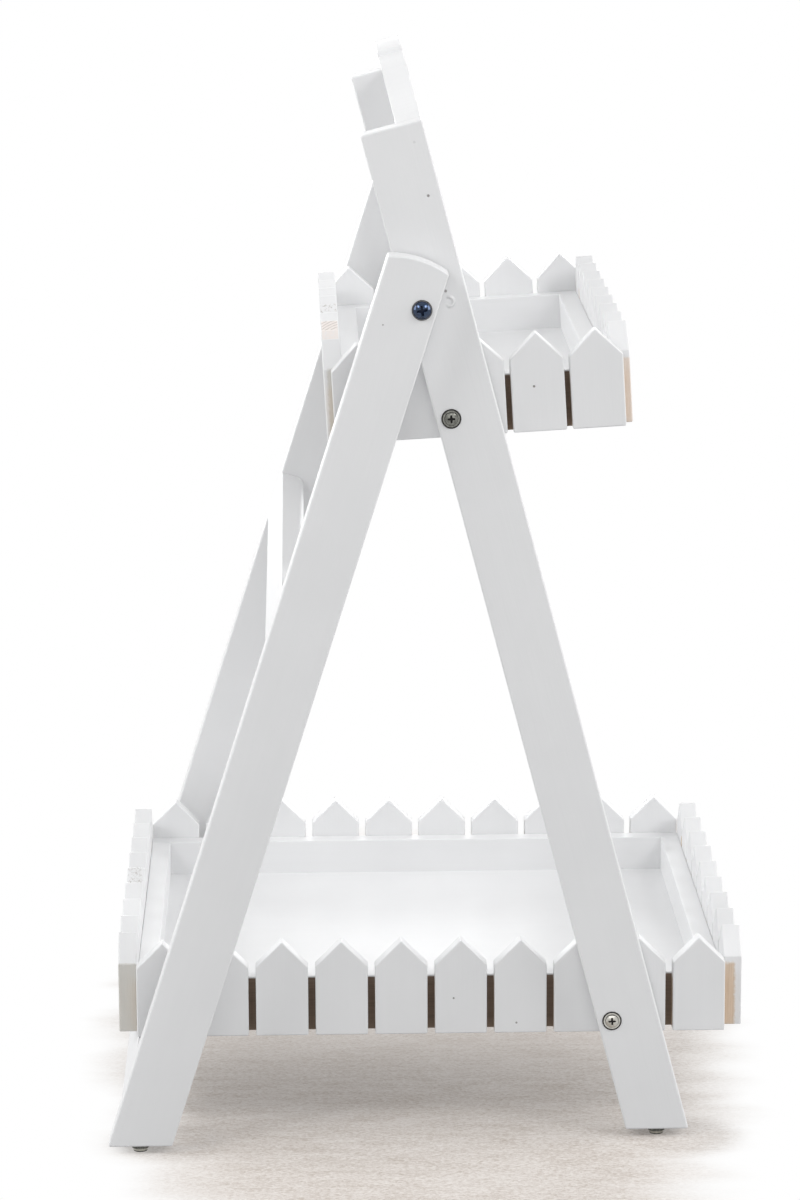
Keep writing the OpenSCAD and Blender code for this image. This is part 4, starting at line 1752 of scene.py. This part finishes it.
    def world(self) -> None:
        """Makes the background, white to the camera and dimmer as a light."""
        world = bpy.data.worlds.new("studio_world")
        bpy.context.scene.world = world
        sh = Shader("studio_world", world)
        level = self.seen(sh)
        strength = level + (1.0 - level) * self.world_light
        back = sh.node(
            "ShaderNodeBackground", None, {"Color": (1.0, 1.0, 1.0, 1.0), "Strength": strength}
        )
        sh.node("ShaderNodeOutputWorld", None, {"Surface": back})

    def build(self) -> None:
        """Makes the whole studio."""
        self.camera()
        self.floor()
        self.world()
        for lamp in (
            Softbox("softbox_top", (0.0, 0.0, 2.7), (1.6, 1.6), 4.0),
            Softbox("softbox_above_far_side", (1.9, 0.0, 2.2), (1.4, 1.4), 6.0),
            Softbox("softbox_far_side", (2.6, 0.0, 0.55), (2.6, 0.9), 24.0),
            Softbox("softbox_near_side", (-3.6, 0.0, 1.3), (3.0, 2.4), 26.0),
            Softbox("softbox_front", (-0.1, -2.6, 1.3), (1.8, 1.6), 40.0),
            Softbox("softbox_back", (-0.1, 2.6, 1.3), (1.8, 1.6), 38.0),
            Softbox("key_left", (-1.4, 1.6, 2.1), (0.8, 0.8), 15.0),
            Softbox("key_right", (-1.4, -1.6, 2.1), (0.8, 0.8), 18.0),
        ):
            lamp.build()
        bpy.context.scene.view_settings.view_transform = "Standard"


def leg_paint(front: FrontFrame) -> bpy.types.Material:
    """Makes the paint of the two frames, with the nail marks and holes, painted dark as their shade, and
    the paint run, lightened by a painted highlight.

    Args:
        front: The front frame, whose nails show.

    Returns:
        The material.
    """
    s = front.sizes
    old_hole = Mark((-s.leg_out, -12.6 * MM, 534.8 * MM), 0.7)
    stray_pin = Mark((-s.rear_out, 25.5 * MM, 517.8 * MM), 0.6, 0.5 * MM)
    return PaintedPine(
        "leg_paint",
        marks=(*front.nail_marks(), old_hole, stray_pin),
        runs=((-s.leg_out, -14.6 * MM, 528.5 * MM),),
    ).build()


def tray_finishes() -> TrayFinishes:
    """Makes the paints of the trays, with bare wood where it shows, bare wood darkened as painted shade
    on the boxes' outer faces, and dark nail holes painted as their shade.

    Returns:
        The materials.
    """
    picket_out = -176.5 * MM
    picket_nails = (
        Mark((picket_out, -66.8 * MM, 473.4 * MM), 0.85, 0.8 * MM),
        Mark((picket_out, -17.2 * MM, 86.3 * MM), 0.75, 0.7 * MM),
        Mark((picket_out, -56.5 * MM, 69.8 * MM), 0.75, 0.7 * MM),
    )
    return TrayFinishes(
        panel=PaintedPine("panel_paint").build(),
        box=PaintedPine(
            "box_paint",
            Bare.OUTER_FACE,
            thick=Tray.box_t,
            # Bare pine darkened to a painted shade, for the deep gaps between the pickets.
            pale_wood=(0.25, 0.19, 0.145),
            dark_wood=(0.19, 0.14, 0.105),
        ).build(),
        picket=PaintedPine(
            "picket_paint",
            Bare.SAWN_EDGES,
            half_width=Tray.picket_w / 2.0,
            thick=Tray.picket_t,
            shoulder=Tray.picket_h - Tray.picket_w / 2.0,
            marks=picket_nails,
        ).build(),
    )


def trays(sizes: Frame) -> tuple[Tray, Tray]:
    """Sets out the two trays.

    Args:
        sizes: The stand's sizes.

    Returns:
        The lower and the upper tray.
    """
    lower = Tray(
        "lower",
        sizes.lower_screw,
        sizes.lower_screw_up,
        count=10,
        ahead=2,
        gap=4.5 * MM,
        overhang=0.0,
        tilt=0.0,
        seed=41,
        front_wear=Wear(bare=0.72, veil=0.12),
        back_wear=Wear(bare=1.2, veil=0.6, grime=0.85),
        odd_wear={4: {"roof_rough": 0.9}},
    )
    upper = Tray(
        "upper",
        sizes.upper_screw,
        sizes.upper_screw_up,
        count=5,
        ahead=3,
        gap=3.4 * MM,
        overhang=6.8 * MM,
        tilt=radians(3.2),
        seed=17,
        front_wear=Wear(bare=1.1, veil=0.6),
        back_wear=Wear(bare=0.9, veil=0.5, grime=0.9),
        odd_wear={
            1: {"roof_bare": 0.9},
            2: {"roof_bare": 0.9, "roof_rings": 0.9},
            4: {"roof_rough": 0.9},
        },
    )
    return lower, upper


def main() -> None:
    """Loads the frame, dresses the stand and sets up the studio."""
    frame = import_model()
    pivots = {joint["name"]: tuple(joint["pos_m"][1:]) for joint in frame["joints"]}
    sizes = Frame(pivots["rear_frame_fold"], pivots["upper_tray_tilt"], pivots["lower_tray_tilt"])
    front = FrontFrame(sizes)
    paint = leg_paint(front)
    front.build(paint)
    RearFrame(sizes).build(paint)
    finishes = tray_finishes()
    for tray in trays(sizes):
        tray.build(f"{tray.name}_tray", finishes)
    Hardware(sizes, frame["nodes"]).build()
    Studio().build()


if __name__ == "__main__":
    main()
